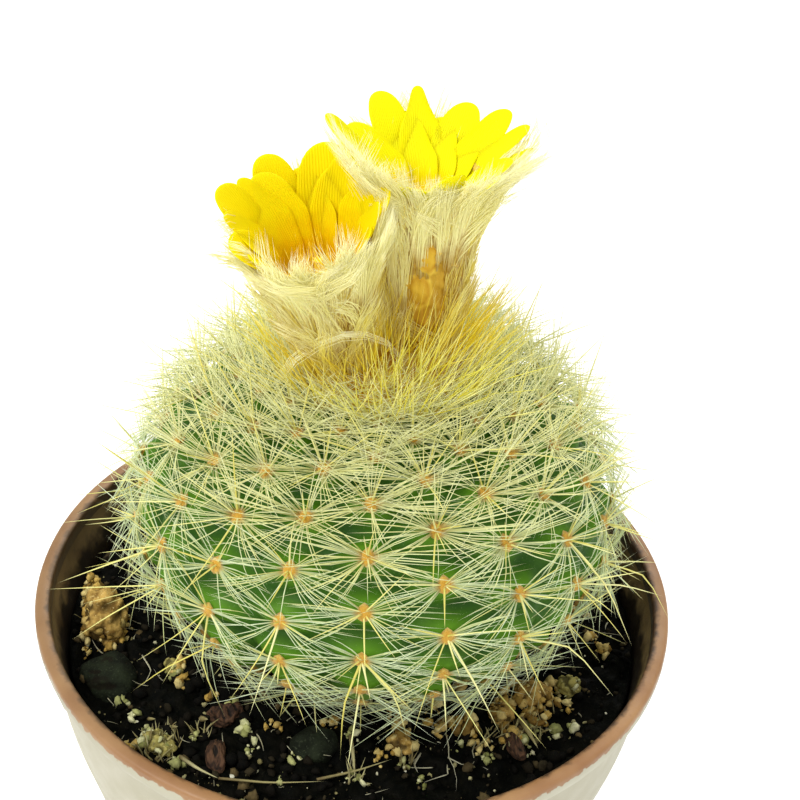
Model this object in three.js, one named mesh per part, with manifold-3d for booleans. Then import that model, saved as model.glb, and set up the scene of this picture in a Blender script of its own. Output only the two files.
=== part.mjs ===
// Potted round cactus in flower: a ribbed, densely spined globe with two yellow blooms on
// woolly tubes, standing in a small plastic pot of dark soil with stones and crumbs on it.
// Millimetres, +Z up. The origin is the centre of the pot's flat base; the viewer stands at -Y.
import * as THREE from "three";
import { mergeVertices } from "three/addons/utils/BufferGeometryUtils.js";
import Module from "manifold-3d";

const wasm = await Module();
wasm.setup();

// Driving dimensions.
const GAP = 0.35; // clearance kept between pieces that touch
const POT = {
  height: 66,
  lipRadius: 42.5,
  lipWidth: 2.0,
  lipHeight: 3.0,
  wall: 1.5,
  baseRadius: 28.5,
  baseThickness: 2.2,
  drainRadius: 2.6,
  drainCircle: 17,
  drains: 4,
  sides: 44,
};
const SOIL = { drop: 8, mound: 2.0, lump: 0.42, sides: 36, holeRadius: 13.6, holeDepth: 9 };
const BODY = {
  centreX: 2.0,
  equator: POT.height + 14.7,
  radius: 30.7,
  rise: 19.9,
  fall: 22.5,
  ribs: 20,
  turn: 9, // rows climbed in one turn, which winds the areoles into spirals
  firstRib: 0.1, // degrees from the front to the first rib
  lowest: -66.8, // degrees of latitude where the rows of areoles begin
  highest: 70,
  rowPitch: 6.12,
  crownPitch: 3.6,
  valley: 2.2,
  rootTip: POT.height - 24,
};
const AREOLE = { radius: 0.95, core: 0.34, radials: 8, cores: 3 };
const SPINE = {
  radial: [6.0, 9.0],
  radialTilt: [10, 42],
  central: [9, 14],
  centralLean: 50,
  spacing: 0.5, // nearest that two spines may pass
  reach: 43.4, // farthest that a tip may be from the pot's axis
  tries: 70,
};
const CROWN = {
  radius: 10.6,
  height: 4.0,
  hollow: 3.9,
  rings: 5,
  sides: 20,
  needle: [6.5, 12.5],
  needleRadius: 0.42,
};
const PETAL = { thickness: 0.65, layers: [10, 8], layerGap: 1.3, sunk: 2.6, bend: 0.38, crowding: 0.3 };
const FOOT = 1.6; // how far a tube reaches down through the crown
const CUP = { depth: 9, wall: 0.9 }; // the hollow at a tube's top that holds petals and centre
const TUFT = { length: [3.6, 5.6], lean: [30, 50], spacing: 1.0, lowest: 6.5 };
const FLOWERS = [
  {
    name: "left_flower",
    base: [-2.3, -2.8, BODY.equator + 19.8],
    lean: [-3.7, -3.6, 18.6],
    tube: { length: 19.3, foot: 3.9, throat: 7.1 },
    petals: { rise: 9.2, flare: 9.4, width: 2.6 },
    seed: 11,
  },
  {
    name: "right_flower",
    base: [6.4, 1.2, BODY.equator + 19.8],
    lean: [-0.5, -0.2, 24.6],
    tube: { length: 24.6, foot: 3.9, throat: 7.0 },
    petals: { rise: 8.6, flare: 12.0, width: 2.9 },
    seed: 29,
  },
];
// Loose pieces that lie half sunk in the soil: colour, place, half sizes, turn.
const ROUGHNESS = { tan: 0.3, olive: 0.3, grey: 0.12, brown: 0.2 };
const COLOURS = { tan: 0xb9935a, olive: 0xa79a5c, grey: 0x3b423c, brown: 0x6b4a34 };
const DEBRIS = [
  { name: "tan_clump_left", kind: "tan", at: [-33.2, -5.6], size: [3.4, 3.6, 5.2], turn: 0.3 },
  { name: "stone_left", kind: "grey", at: [-31.2, -14.4], size: [3.3, 4.2, 2.3], turn: 0.5 },
  { name: "stone_front", kind: "grey", at: [-3.4, -24.6], size: [2.8, 2.6, 1.9], turn: 0.1 },
  { name: "bark_front_left", kind: "brown", at: [-15.0, -20.4], size: [2.2, 1.6, 1.4], turn: 0.4 },
  { name: "bark_front", kind: "brown", at: [-15.2, -27.0], size: [1.3, 2.4, 1.2], turn: 0.2 },
  { name: "tan_clump_right", kind: "tan", at: [24.0, -13.8], size: [3.1, 2.2, 1.9], turn: 0.2 },
  { name: "tan_crumb_right", kind: "tan", at: [20.0, -17.4], size: [1.9, 1.7, 1.6], turn: 0.9 },
  { name: "tan_crumb_front", kind: "tan", at: [15.0, -20.2], size: [1.6, 1.4, 1.3], turn: 0.3 },
  { name: "tan_crumb_near_body", kind: "tan", at: [7.4, -24.0], size: [1.7, 1.9, 1.4], turn: 1.1 },
  { name: "bark_right", kind: "brown", at: [21.6, -22.4], size: [1.0, 2.4, 1.0], turn: 0.4 },
  { name: "grey_crumb_right", kind: "olive", at: [29.2, -11.4], size: [1.7, 1.8, 1.5], turn: 0.6 },
  { name: "tan_crumb_left", kind: "olive", at: [-22.8, -12.9], size: [1.2, 2.2, 1.2], turn: 0.5 },
  { name: "moss_front_left", kind: "olive", at: [-22.6, -25.4], size: [2.6, 1.8, 1.3], turn: -0.6 },
];

const V = (x, y, z) => new THREE.Vector3(x, y, z);
const TAU = 2 * Math.PI;
const lerp = THREE.MathUtils.lerp;
const smooth = THREE.MathUtils.smoothstep;
const degrees = THREE.MathUtils.degToRad;

// A small seeded random number generator, from 0 to 1.
function seeded(seed) {
  let state = seed >>> 0;
  return () => {
    state = (state + 0x6d2b79f5) >>> 0;
    let t = Math.imul(state ^ (state >>> 15), 1 | state);
    t = (t + Math.imul(t ^ (t >>> 7), 61 | t)) ^ t;
    return ((t ^ (t >>> 14)) >>> 0) / 4294967296;
  };
}

// Solids: geometry in, manifold out, and back.
function solidOf(geometry) {
  const bare = geometry.clone();
  bare.deleteAttribute("normal");
  bare.deleteAttribute("uv");
  const merged = mergeVertices(bare, 1e-3);
  return new wasm.Manifold(
    new wasm.Mesh({
      numProp: 3,
      vertProperties: new Float32Array(merged.attributes.position.array),
      triVerts: new Uint32Array(merged.index.array),
    }),
  );
}

function geometryOf(solid) {
  const mesh = solid.getMesh();
  return new THREE.BufferGeometry()
    .setAttribute("position", new THREE.BufferAttribute(mesh.vertProperties, 3))
    .setIndex(new THREE.BufferAttribute(mesh.triVerts, 1));
}

function geometryFrom(points, faces) {
  const flat = points.flatMap((p) => [p.x, p.y, p.z]);
  return new THREE.BufferGeometry()
    .setAttribute("position", new THREE.Float32BufferAttribute(flat, 3))
    .setIndex(faces.flat());
}

// Joins many solids by halves, which keeps each union small.
function joined(solids) {
  if (solids.length === 1) return solids[0];
  const middle = solids.length >> 1;
  return joined(solids.slice(0, middle)).add(joined(solids.slice(middle)));
}

// A body of revolution about Z whose [radius, height] profile runs from the axis to the axis.
function turned(profile, sides) {
  const points = profile.map(([radius, height]) => new THREE.Vector2(radius, height));
  return new THREE.LatheGeometry(points, sides).rotateX(Math.PI / 2);
}

// Three-sided needle from a point a little under the surface that carries it.
function needle(root, direction, length, radius) {
  const geometry = new THREE.ConeGeometry(radius, length, 3, 1, false).translate(0, length / 2, 0);
  geometry.applyQuaternion(new THREE.Quaternion().setFromUnitVectors(V(0, 1, 0), direction));
  return geometry.translate(root.x, root.y, root.z);
}

// Places everything that a flower holds on the flower's own axis.
function flowerMatrix(flower) {
  const turn = new THREE.Quaternion().setFromUnitVectors(V(0, 0, 1), V(...flower.lean).normalize());
  return new THREE.Matrix4().compose(V(...flower.base), turn, V(1, 1, 1));
}

// The pot's outside and inside radius at a height.
const POT_OUTSIDE = [
  [POT.baseRadius, 0],
  [37.0, 40],
  [40.0, 52],
  [41.0, POT.height - POT.lipHeight],
];

function potOutside(height) {
  const upper = POT_OUTSIDE.findIndex(([, z]) => z >= height);
  if (upper <= 0) return upper < 0 ? POT_OUTSIDE.at(-1)[0] : POT_OUTSIDE[0][0];
  const [[r0, z0], [r1, z1]] = [POT_OUTSIDE[upper - 1], POT_OUTSIDE[upper]];
  return lerp(r0, r1, (height - z0) / (z1 - z0));
}

const potInside = (height) => potOutside(height) - POT.wall;

function pot() {
  const top = POT.height;
  const under = top - POT.lipHeight;
  const lipInside = POT.lipRadius - POT.lipWidth;
  const inside = POT_OUTSIDE.slice(1, 3).reverse();
  const profile = [
    [0, 0],
    ...POT_OUTSIDE,
    [POT.lipRadius - 0.3, under],
    [POT.lipRadius, top - 0.8],
    [POT.lipRadius - 0.6, top],
    [lipInside + 0.5, top],
    [lipInside, top - 0.6],
    [potInside(under), under - 1],
    ...inside.map(([radius, height]) => [radius - POT.wall, height]),
    [potInside(POT.baseThickness) - 0.4, POT.baseThickness],
    [0, POT.baseThickness],
  ];
  const drains = [];
  for (let k = 0; k < POT.drains; k++) {
    const angle = (TAU * (k + 0.5)) / POT.drains;
    drains.push(
      solidOf(
        new THREE.CylinderGeometry(POT.drainRadius, POT.drainRadius, 3 * POT.baseThickness, 10)
          .rotateX(Math.PI / 2)
          .translate(POT.drainCircle * Math.cos(angle), POT.drainCircle * Math.sin(angle), 0),
      ),
    );
  }
  return solidOf(turned(profile, POT.sides)).subtract(joined(drains));
}

// The soil's surface: a slight mound towards the plant, with lumps.
function soilHeight(x, y) {
  const radius = Math.hypot(x, y);
  const lumps =
    Math.sin(0.62 * x + 1.3) * Math.cos(0.55 * y - 0.4) +
    0.6 * Math.sin(0.9 * x - 0.8 * y + 2.0) +
    0.5 * Math.cos(1.3 * y + 0.7 * x);
  const mound = SOIL.mound * (1 - smooth(radius, 16, 36));
  return POT.height - SOIL.drop + mound + SOIL.lump * lumps * smooth(radius, 12, 22);
}

function soil() {
  const rings = [18.5, 23.5, 28.5, 32.5, 36.5];
  const edge = potInside(POT.height - SOIL.drop) - GAP;
  const low = POT.baseThickness + GAP;
  const holeFloor = POT.height - SOIL.drop - SOIL.holeDepth;
  const profile = [
    [0, low],
    [potInside(low) - GAP - 0.5, low],
    ...POT_OUTSIDE.slice(1, 3).map(([radius, height]) => [radius - POT.wall - GAP, height]),
    [edge, POT.height - SOIL.drop],
    ...rings.toReversed().map((radius) => [radius, POT.height - SOIL.drop]),
    [SOIL.holeRadius, POT.height - SOIL.drop],
    [9.5, holeFloor],
    [0, BODY.rootTip - 2],
  ];
  const geometry = turned(profile, SOIL.sides);
  const position = geometry.attributes.position;
  for (let k = 0; k < position.count; k++) {
    const [x, y, z] = [position.getX(k), position.getY(k), position.getZ(k)];
    const onTop = Math.abs(z - (POT.height - SOIL.drop)) < 0.01;
    const inHole = Math.hypot(x, y) < SOIL.holeRadius + 0.1 && z > POT.baseThickness + 1;
    const moved = inHole ? x + BODY.centreX : x;
    position.setXYZ(k, moved, y, onTop ? soilHeight(moved, y) : z);
  }
  return solidOf(geometry);
}

// A lumpy stone or crumb: a ball pushed in and out by waves, sunk by a third in the soil.
function debrisSolid(piece, index, grow = 0) {
  const [sx, sy, sz] = piece.size;
  const finer = Math.max(...piece.size) > 2.7 ? 1 : 0;
  const geometry = mergeVertices(strip(new THREE.IcosahedronGeometry(1, finer)), 1e-4);
  const position = geometry.attributes.position;
  for (let k = 0; k < position.count; k++) {
    const p = V(position.getX(k), position.getY(k), position.getZ(k));
    const across = Math.sin(5.1 * p.x + index) * Math.cos(4.3 * p.y - index);
    const wave = across + Math.sin(6.7 * p.z + 2 * index);
    p.multiplyScalar(1 + (ROUGHNESS[piece.kind] * wave) / 2);
    position.setXYZ(k, p.x * (sx + grow), p.y * (sy + grow), p.z * (sz + grow));
  }
  const [x, y] = piece.at;
  return solidOf(geometry.rotateZ(piece.turn).translate(x, y, soilHeight(x, y) + 0.36 * sz));
}

function strip(geometry) {
  geometry.deleteAttribute("normal");
  geometry.deleteAttribute("uv");
  return geometry;
}

// The globe's skin, by its angle above the equator and its turn from the front.
function skin(latitude, turn, lift = 0) {
  const tall = latitude > 0 ? BODY.rise : BODY.fall;
  const radius = BODY.radius * Math.cos(latitude);
  const height = tall * Math.sin(latitude);
  const normal = new THREE.Vector2(Math.cos(latitude) / BODY.radius, Math.sin(latitude) / tall).normalize();
  const out = radius + lift * normal.x;
  return V(
    BODY.centreX + out * Math.sin(turn),
    -out * Math.cos(turn),
    BODY.equator + height + lift * normal.y,
  );
}

// Row number to latitude: rows are a pitch apart along the rib and crowd towards the crown.
const ROW_STEP = 0.02;
const ROW_LATITUDES = [degrees(BODY.lowest)];
while (ROW_LATITUDES.at(-1) < degrees(89)) {
  const latitude = ROW_LATITUDES.at(-1);
  const tall = latitude > 0 ? BODY.rise : BODY.fall;
  const stretch = Math.hypot(BODY.radius * Math.sin(latitude), tall * Math.cos(latitude));
  const crowding = smooth(BODY.radius * Math.cos(latitude), 8, 20);
  const pitch = lerp(BODY.crownPitch, BODY.rowPitch, crowding);
  ROW_LATITUDES.push(latitude + (ROW_STEP * pitch) / stretch);
}

function latitudeOfRow(row) {
  const place = THREE.MathUtils.clamp(row / ROW_STEP, 0, ROW_LATITUDES.length - 1.001);
  const below = Math.floor(place);
  return lerp(ROW_LATITUDES[below], ROW_LATITUDES[below + 1], place - below);
}

const LAST_ROW = ROW_STEP * ROW_LATITUDES.findIndex((latitude) => latitude > degrees(BODY.highest));

// A place of the spiral lattice: rib and row may be fractions between the areoles.
function latticePoint(rib, row, lift = 0) {
  const turn = (TAU * rib) / BODY.ribs + degrees(BODY.firstRib);
  return skin(latitudeOfRow(row + (rib * BODY.turn) / BODY.ribs), turn, lift);
}

// Every spine that was placed, so that the next ones can pass between them.
const placed = [];

function segmentGap(a, b) {
  const [d1, d2] = [a.end.clone().sub(a.start), b.end.clone().sub(b.start)];
  const apart = a.start.clone().sub(b.start);
  const [aa, bb, ab] = [d1.dot(d1), d2.dot(d2), d1.dot(d2)];
  const [ar, br] = [d1.dot(apart), d2.dot(apart)];
  const clamp = (value) => Math.min(1, Math.max(0, value));
  const bottom = aa * bb - ab * ab;
  let s = bottom > 1e-9 ? clamp((ab * br - bb * ar) / bottom) : 0;
  const t = clamp((ab * s + br) / bb);
  s = clamp((ab * t - ar) / aa);
  return a.start.clone().addScaledVector(d1, s).distanceTo(b.start.clone().addScaledVector(d2, t));
}

const passes = (spine, spacing) =>
  placed.every((other) => other.owner === spine.owner || segmentGap(spine, other) > spacing);

// The crown cushion's top surface.
function crownTop(x, y) {
  const share = Math.min(1, Math.hypot(x - BODY.centreX, y) / CROWN.radius);
  return BODY.equator + BODY.rise - 0.2 * share + CROWN.height * Math.sqrt(1 - share * share);
}

function tubeRadius(flower, height) {
  const share = THREE.MathUtils.clamp(height / flower.tube.length, 0, 1);
  return lerp(flower.tube.foot, flower.tube.throat, share ** 1.4);
}

const cupRadius = (flower, height) => tubeRadius(flower, height) - CUP.wall;

function clearOfFlowers(p, margin, except) {
  return FLOWERS.every((flower) => {
    if (flower === except) return true;
    const local = p.clone().applyMatrix4(flower.inverse);
    const above = Math.max(0, local.z - flower.tube.length);
    if (local.z < -2) return true;
    return Math.hypot(local.x, local.y) > tubeRadius(flower, local.z) + 0.45 * above + margin;
  });
}

// Whether a point is clear of the soil, the pot's lip, the crown and the loose pieces.
function clearOfPot(p) {
  const fromAxis = Math.hypot(p.x, p.y);
  if (fromAxis > SPINE.reach) return false;
  if (fromAxis < POT.lipRadius && p.z < soilHeight(p.x, p.y) + 1.2) return false;
  if (fromAxis > 36.5 && p.z < POT.height + 0.9) return false;
  return DEBRIS.every((piece) => {
    const [x, y] = piece.at;
    const largest = 1.35 * Math.max(...piece.size) + 0.4;
    return Math.hypot(p.x - x, p.y - y, (p.z - soilHeight(x, y)) * 0.8) > largest;
  });
}

function clearOfCrown(p) {
  return Math.hypot(p.x - BODY.centreX, p.y) > CROWN.radius + 0.9 || p.z > crownTop(p.x, p.y) + 0.8;
}

// Tests a spine at places along it.
const SHARES = [0.25, 0.5, 0.75, 0.9, 1];

function alongSpine(spine, test) {
  return SHARES.every((share) => test(spine.start.clone().lerp(spine.end, share)));
}

for (const flower of FLOWERS) {
  flower.matrix = flowerMatrix(flower);
  flower.inverse = flower.matrix.clone().invert();
}

// A closed surface in the making: points, faces, and spikes raised from faces.
class Surface {
  points = [];
  faces = [];

  add(point) {
    return this.points.push(point) - 1;
  }

  middle(corners) {
    const sum = new THREE.Vector3();
    for (const index of corners) sum.addScaledVector(this.points[index], 1 / 3);
    return sum;
  }

  // Raises a face to a spike whose end is drawn anew until it passes clear of all the others.
  raise(corners, owner, drawEnd, isClear) {
    const start = this.middle(corners);
    for (let attempt = 0; attempt < SPINE.tries; attempt++) {
      const spine = { start, end: drawEnd(start, attempt / SPINE.tries), owner };
      if (!isClear(spine)) continue;
      placed.push(spine);
      const tip = this.add(spine.end);
      corners.forEach((from, k) => this.faces.push([from, corners[(k + 1) % 3], tip]));
      return;
    }
    this.faces.push(corners);
  }

  // Splits a face round a small face at its middle, and returns the small one's corners.
  inset(corners, radius) {
    const middle = this.middle(corners);
    const small = corners.map((index) => {
      const arm = this.points[index].clone().sub(middle);
      const share = Math.min(0.7, radius / arm.length());
      return this.add(middle.clone().addScaledVector(arm, share));
    });
    corners.forEach((from, k) => {
      const next = (k + 1) % 3;
      this.faces.push([from, corners[next], small[next]], [from, small[next], small[k]]);
    });
    return small;
  }

  // Rings about Z, from [radius, height] pairs that run up the outside, closed at both ends to
  // the axis. Every other ring is turned by half a side. Each face goes to the given function.
  lathe(rings, ends, sides, matrix, onFace) {
    const ringPoints = rings.map(([radius, height], row) =>
      Array.from({ length: sides }, (_, k) => {
        const turn = (TAU * (k + (row % 2) / 2)) / sides;
        return this.add(V(radius * Math.cos(turn), radius * Math.sin(turn), height).applyMatrix4(matrix));
      }),
    );
    const [first, last] = ends.map((height) => this.add(V(0, 0, height).applyMatrix4(matrix)));
    for (let k = 0; k < sides; k++) {
      const next = (k + 1) % sides;
      this.faces.push([ringPoints[0][next], ringPoints[0][k], first]);
      for (let row = 0; row + 1 < rings.length; row++) {
        const [low, high] = [ringPoints[row], ringPoints[row + 1]];
        const above = row % 2 ? next : k;
        const behind = row % 2 ? k : next;
        onFace([low[k], low[next], high[above]], row, true);
        const other = row % 2 ? [low[k], high[next], high[k]] : [low[behind], high[next], high[k]];
        onFace(other, row, false);
      }
      onFace([ringPoints.at(-1)[k], ringPoints.at(-1)[next], last], rings.length - 1, true);
    }
  }

  solid() {
    return solidOf(geometryFrom(this.points, this.faces));
  }
}

// Joins an inner and an outer loop of points with a band of faces, going round by angle.
function band(inner, outer, angleOf) {
  const unwrapped = (loop) => {
    const angles = loop.map(angleOf);
    for (let k = 1; k < angles.length; k++) while (angles[k] < angles[k - 1]) angles[k] += TAU;
    return [...angles, angles[0] + TAU];
  };
  const a = unwrapped(inner);
  const b = unwrapped(outer);
  while (a[0] - b[0] > Math.PI) b.forEach((_, k) => (b[k] += TAU));
  while (b[0] - a[0] > Math.PI) b.forEach((_, k) => (b[k] -= TAU));
  const faces = [];
  let [i, j] = [0, 0];
  while (i < inner.length || j < outer.length) {
    const outerNext = j < outer.length && (i >= inner.length || b[j + 1] <= a[i + 1]);
    const [in0, out0] = [inner[i % inner.length], outer[j % outer.length]];
    if (outerNext) faces.push({ corners: [in0, out0, outer[(j + 1) % outer.length]], rim: true });
    else faces.push({ corners: [in0, out0, inner[(i + 1) % inner.length]], rim: false });
    if (outerNext) j++;
    else i++;
  }
  return faces;
}

// The globe as one closed surface: a tubercle for each areole, a spine raised from each face of
// the areole's ring, and a long one from its core. Areoles sit on a spiral lattice.
function cactusBody() {
  const random = seeded(7);
  const between = ([low, high]) => lerp(low, high, random());
  const surface = new Surface();
  const known = new Map();
  // A corner between three areoles, A below and B above, counted once however it is reached.
  const corner = (kind, rib, row) => {
    while (rib < 0) [rib, row] = [rib + BODY.ribs, row - BODY.turn];
    while (rib >= BODY.ribs) [rib, row] = [rib - BODY.ribs, row + BODY.turn];
    const key = `${kind}${rib},${row}`;
    const share = kind === "A" ? 1 / 3 : 2 / 3;
    if (!known.has(key)) known.set(key, surface.add(latticePoint(rib + share, row + share, -BODY.valley)));
    return known.get(key);
  };

  const addAreole = (owner, rib, row, full, loop) => {
    const centre = latticePoint(rib, row);
    const out = latticePoint(rib, row, 1).sub(centre);
    const up = latticePoint(rib, row + 0.05).sub(centre);
    up.addScaledVector(out, -up.dot(out)).normalize();
    const along = up.clone().cross(out).normalize();
    const fromAxis = BODY.radius * Math.cos(latitudeOfRow(full));
    const size = Math.min(1, smooth(fromAxis, 2, 24) * 0.6 + 0.45);
    const grown = centre.z > soilHeight(centre.x, centre.y) + 1.5 && fromAxis > CROWN.radius + 0.9;
    const angleAt = (point) => {
      const arm = point.clone().sub(centre);
      return Math.atan2(arm.dot(up), arm.dot(along));
    };
    const angleOf = (index) => angleAt(surface.points[index]);
    const direction = (angle, tilt) =>
      new THREE.Vector3()
        .addScaledVector(along, Math.cos(angle) * Math.cos(tilt))
        .addScaledVector(up, Math.sin(angle) * Math.cos(tilt))
        .addScaledVector(out, Math.sin(tilt));
    const twist = random();
    const ringOf = (count, radius, lift) =>
      Array.from({ length: count }, (_, k) => {
        const angle = (TAU * (k + twist)) / count;
        const flat = direction(angle, 0).multiplyScalar(radius * size);
        return surface.add(centre.clone().add(flat).addScaledVector(out, lift));
      });
    const isClear = (spine) =>
      alongSpine(spine, (p) => clearOfPot(p) && clearOfCrown(p) && clearOfFlowers(p, 1.2)) &&
      passes(spine, SPINE.spacing);
    const raise = (corners, drawDirection, lengths) => {
      if (!grown) return surface.faces.push(corners);
      const drawEnd = (start, tried) => {
        const length = between(lengths) * (1 - 0.45 * tried) * Math.sqrt(size);
        return start.clone().addScaledVector(drawDirection(), length);
      };
      return surface.raise(corners, owner, drawEnd, isClear);
    };
    const ring = ringOf(AREOLE.radials, AREOLE.radius, 0);
    const core = ringOf(AREOLE.cores, AREOLE.core, 0.15);
    for (const face of band(ring, loop, angleOf)) surface.faces.push(face.corners);
    const leaning = () => degrees(90 - SPINE.centralLean * random());
    raise(core, () => direction(TAU * random(), leaning()), SPINE.central);
    for (const { corners, rim } of band(core, ring, angleOf)) {
      if (rim) {
        const outer = surface.points[corners[1]].clone().lerp(surface.points[corners[2]], 0.5);
        const angle = angleAt(outer);
        const tilted = () => degrees(between(SPINE.radialTilt));
        raise(corners, () => direction(angle + 0.5 * (random() - 0.5), tilted()), SPINE.radial);
      } else surface.faces.push(corners);
    }
  };

  const open = new Map();
  for (let rib = 0; rib < BODY.ribs; rib++)
    for (let row = -BODY.turn; row < LAST_ROW; row++) {
      const full = row + (rib * BODY.turn) / BODY.ribs;
      if (full < 0.4 || full > LAST_ROW) continue;
      const loop = [
        corner("A", rib, row),
        corner("B", rib - 1, row),
        corner("A", rib - 1, row),
        corner("B", rib - 1, row - 1),
        corner("A", rib, row - 1),
        corner("B", rib, row - 1),
      ];
      loop.forEach((from, k) => {
        const to = loop[(k + 1) % loop.length];
        if (open.has(`${to}>${from}`)) open.delete(`${to}>${from}`);
        else open.set(`${from}>${to}`, [from, to]);
      });
      addAreole(`${rib},${row}`, rib, row, full, loop);
    }
  // The bottom closes to the root's tip and the top to the growing point.
  const rootTip = surface.add(V(BODY.centreX, 0, BODY.rootTip));
  const growingPoint = surface.add(V(BODY.centreX, 0, BODY.equator + BODY.rise - CROWN.hollow));
  for (const [from, to] of open.values()) {
    const below = surface.points[from].z < BODY.equator;
    surface.faces.push([to, from, below ? rootTip : growingPoint]);
  }
  return surface.solid();
}

// The growing point's cushion of wool, with straight golden spines and a socket for each flower.
function crownWool() {
  const random = seeded(23);
  const surface = new Surface();
  const top = BODY.equator + BODY.rise;
  const rings = [[CROWN.radius - 2.2, top - 0.1]];
  for (let k = 0; k < CROWN.rings; k++) {
    const radius = CROWN.radius * Math.cos((k / CROWN.rings) * (Math.PI / 2));
    rings.push([radius, crownTop(BODY.centreX + radius, 0)]);
  }
  const away = () => 0.35 * (random() - 0.5);
  const drawEnd = (start, tried) => {
    const lean = 0.075;
    const direction = V((start.x - BODY.centreX) * lean + away(), start.y * lean + away(), 1).normalize();
    return start.clone().addScaledVector(direction, lerp(...CROWN.needle, random()) * (1 - 0.3 * tried));
  };
  const isClear = (spine) => alongSpine(spine, (p) => clearOfFlowers(p, 1.0)) && passes(spine, 0.7);
  const onFace = (corners, row) => {
    const bare = row < 1 || random() < 0.2 || !clearOfFlowers(surface.middle(corners), 1.0);
    if (bare) surface.faces.push(corners);
    else surface.raise(surface.inset(corners, CROWN.needleRadius), corners.join(), drawEnd, isClear);
  };
  const ends = [top + 0.2, crownTop(BODY.centreX, 0)];
  surface.lathe(rings, ends, CROWN.sides, new THREE.Matrix4().makeTranslation(BODY.centreX, 0, 0), onFace);
  const sockets = FLOWERS.map((flower) => {
    const plug = [[0, -FOOT - 1], [tubeRadius(flower, 0) + GAP, -FOOT - 1]];
    for (const height of [0, 3, 6]) plug.push([tubeRadius(flower, height) + GAP, height]);
    plug.push([0, 6]);
    return solidOf(turned(plug, 14).applyMatrix4(flower.matrix));
  });
  return surface.solid().subtract(joined(sockets));
}

// A flower's woolly tube: a funnel with an open cup at its top and tufts raised all along it.
function flowerTube(flower) {
  const random = seeded(flower.seed);
  const surface = new Surface();
  const { length } = flower.tube;
  const floor = length - CUP.depth;
  const rings = [
    [tubeRadius(flower, 0) - 0.5, -FOOT],
    ...[0, 0.3, 0.47, 0.64, 0.82, 1].map((share) => [tubeRadius(flower, share * length), share * length]),
    ...[0, 2.6].map((drop) => [cupRadius(flower, length - drop), length - drop]),
    [cupRadius(flower, floor), floor],
  ];
  const heightOf = (corners) => surface.middle(corners).applyMatrix4(flower.inverse).z;
  const isClear = (spine) =>
    alongSpine(spine, (p) => clearOfFlowers(p, 1.6, flower)) && passes(spine, TUFT.spacing);
  const drawEnd = (start, tried) => {
    const local = start.clone().applyMatrix4(flower.inverse);
    const turn = Math.atan2(local.y, local.x) + 0.3 * (random() - 0.5);
    const lean = degrees(lerp(...TUFT.lean, random()));
    const reach = lerp(...TUFT.length, random()) * (1 - 0.4 * tried);
    const direction = V(Math.cos(turn) * Math.sin(lean), Math.sin(turn) * Math.sin(lean), Math.cos(lean));
    return local.addScaledVector(direction, reach).applyMatrix4(flower.matrix);
  };
  const onFace = (corners, row, upward) => {
    const woolly = upward && row >= 2 && row <= 5 && heightOf(corners) > TUFT.lowest;
    if (woolly) surface.raise(corners, corners.join(), drawEnd, isClear);
    else surface.faces.push(corners);
  };
  surface.lathe(rings, [-FOOT, floor - 0.6], 14, flower.matrix, onFace);
  return surface.solid();
}

// One petal: a cupped blade that follows a rising, flaring middle line, with a rounded tip. It
// stays within its share of the circle, so that it meets its neighbours nowhere.
function petal(turn, line, halfWidth, count) {
  const rows = [0, PETAL.bend, 0.78, 1];
  const widths = [0.6, 0.85, 1, 0.5];
  const [points, faces] = [[], []];
  const out = V(Math.cos(turn), Math.sin(turn), 0);
  const side = V(-Math.sin(turn), Math.cos(turn), 0);
  rows.forEach((share, row) => {
    const [radius, height] = line(share);
    const [nextRadius, nextHeight] = line(share + 0.02);
    const rise = new THREE.Vector2(nextRadius - radius, nextHeight - height).normalize();
    const face = out.clone().multiplyScalar(rise.y).addScaledVector(V(0, 0, 1), -rise.x);
    const width = Math.min(halfWidth * widths[row], ((radius - 0.5) * Math.PI * 0.94) / count);
    for (const across of [-1, 0, 1]) {
      const middle = out.clone().multiplyScalar(radius - Math.abs(across) * 0.16 * width);
      middle.addScaledVector(side, across * width).setZ(height);
      points.push(middle.clone().addScaledVector(face, PETAL.thickness / 2));
      points.push(middle.clone().addScaledVector(face, -PETAL.thickness / 2));
    }
  });
  const at = (row, column, back) => 6 * row + 2 * column + back;
  const quad = (a, b, c, d) => faces.push([a, b, c], [a, c, d]);
  const last = rows.length - 1;
  for (let row = 0; row < last; row++) {
    for (const column of [0, 1]) {
      quad(at(row, column, 0), at(row, column + 1, 0), at(row + 1, column + 1, 0), at(row + 1, column, 0));
      quad(at(row, column, 1), at(row + 1, column, 1), at(row + 1, column + 1, 1), at(row, column + 1, 1));
    }
    quad(at(row, 0, 1), at(row, 0, 0), at(row + 1, 0, 0), at(row + 1, 0, 1));
    quad(at(row, 2, 0), at(row, 2, 1), at(row + 1, 2, 1), at(row + 1, 2, 0));
  }
  for (const column of [0, 1]) {
    quad(at(0, column, 1), at(0, column + 1, 1), at(0, column + 1, 0), at(0, column, 0));
    quad(at(last, column, 0), at(last, column + 1, 0), at(last, column + 1, 1), at(last, column, 1));
  }
  return solidOf(geometryFrom(points, faces));
}

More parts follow.
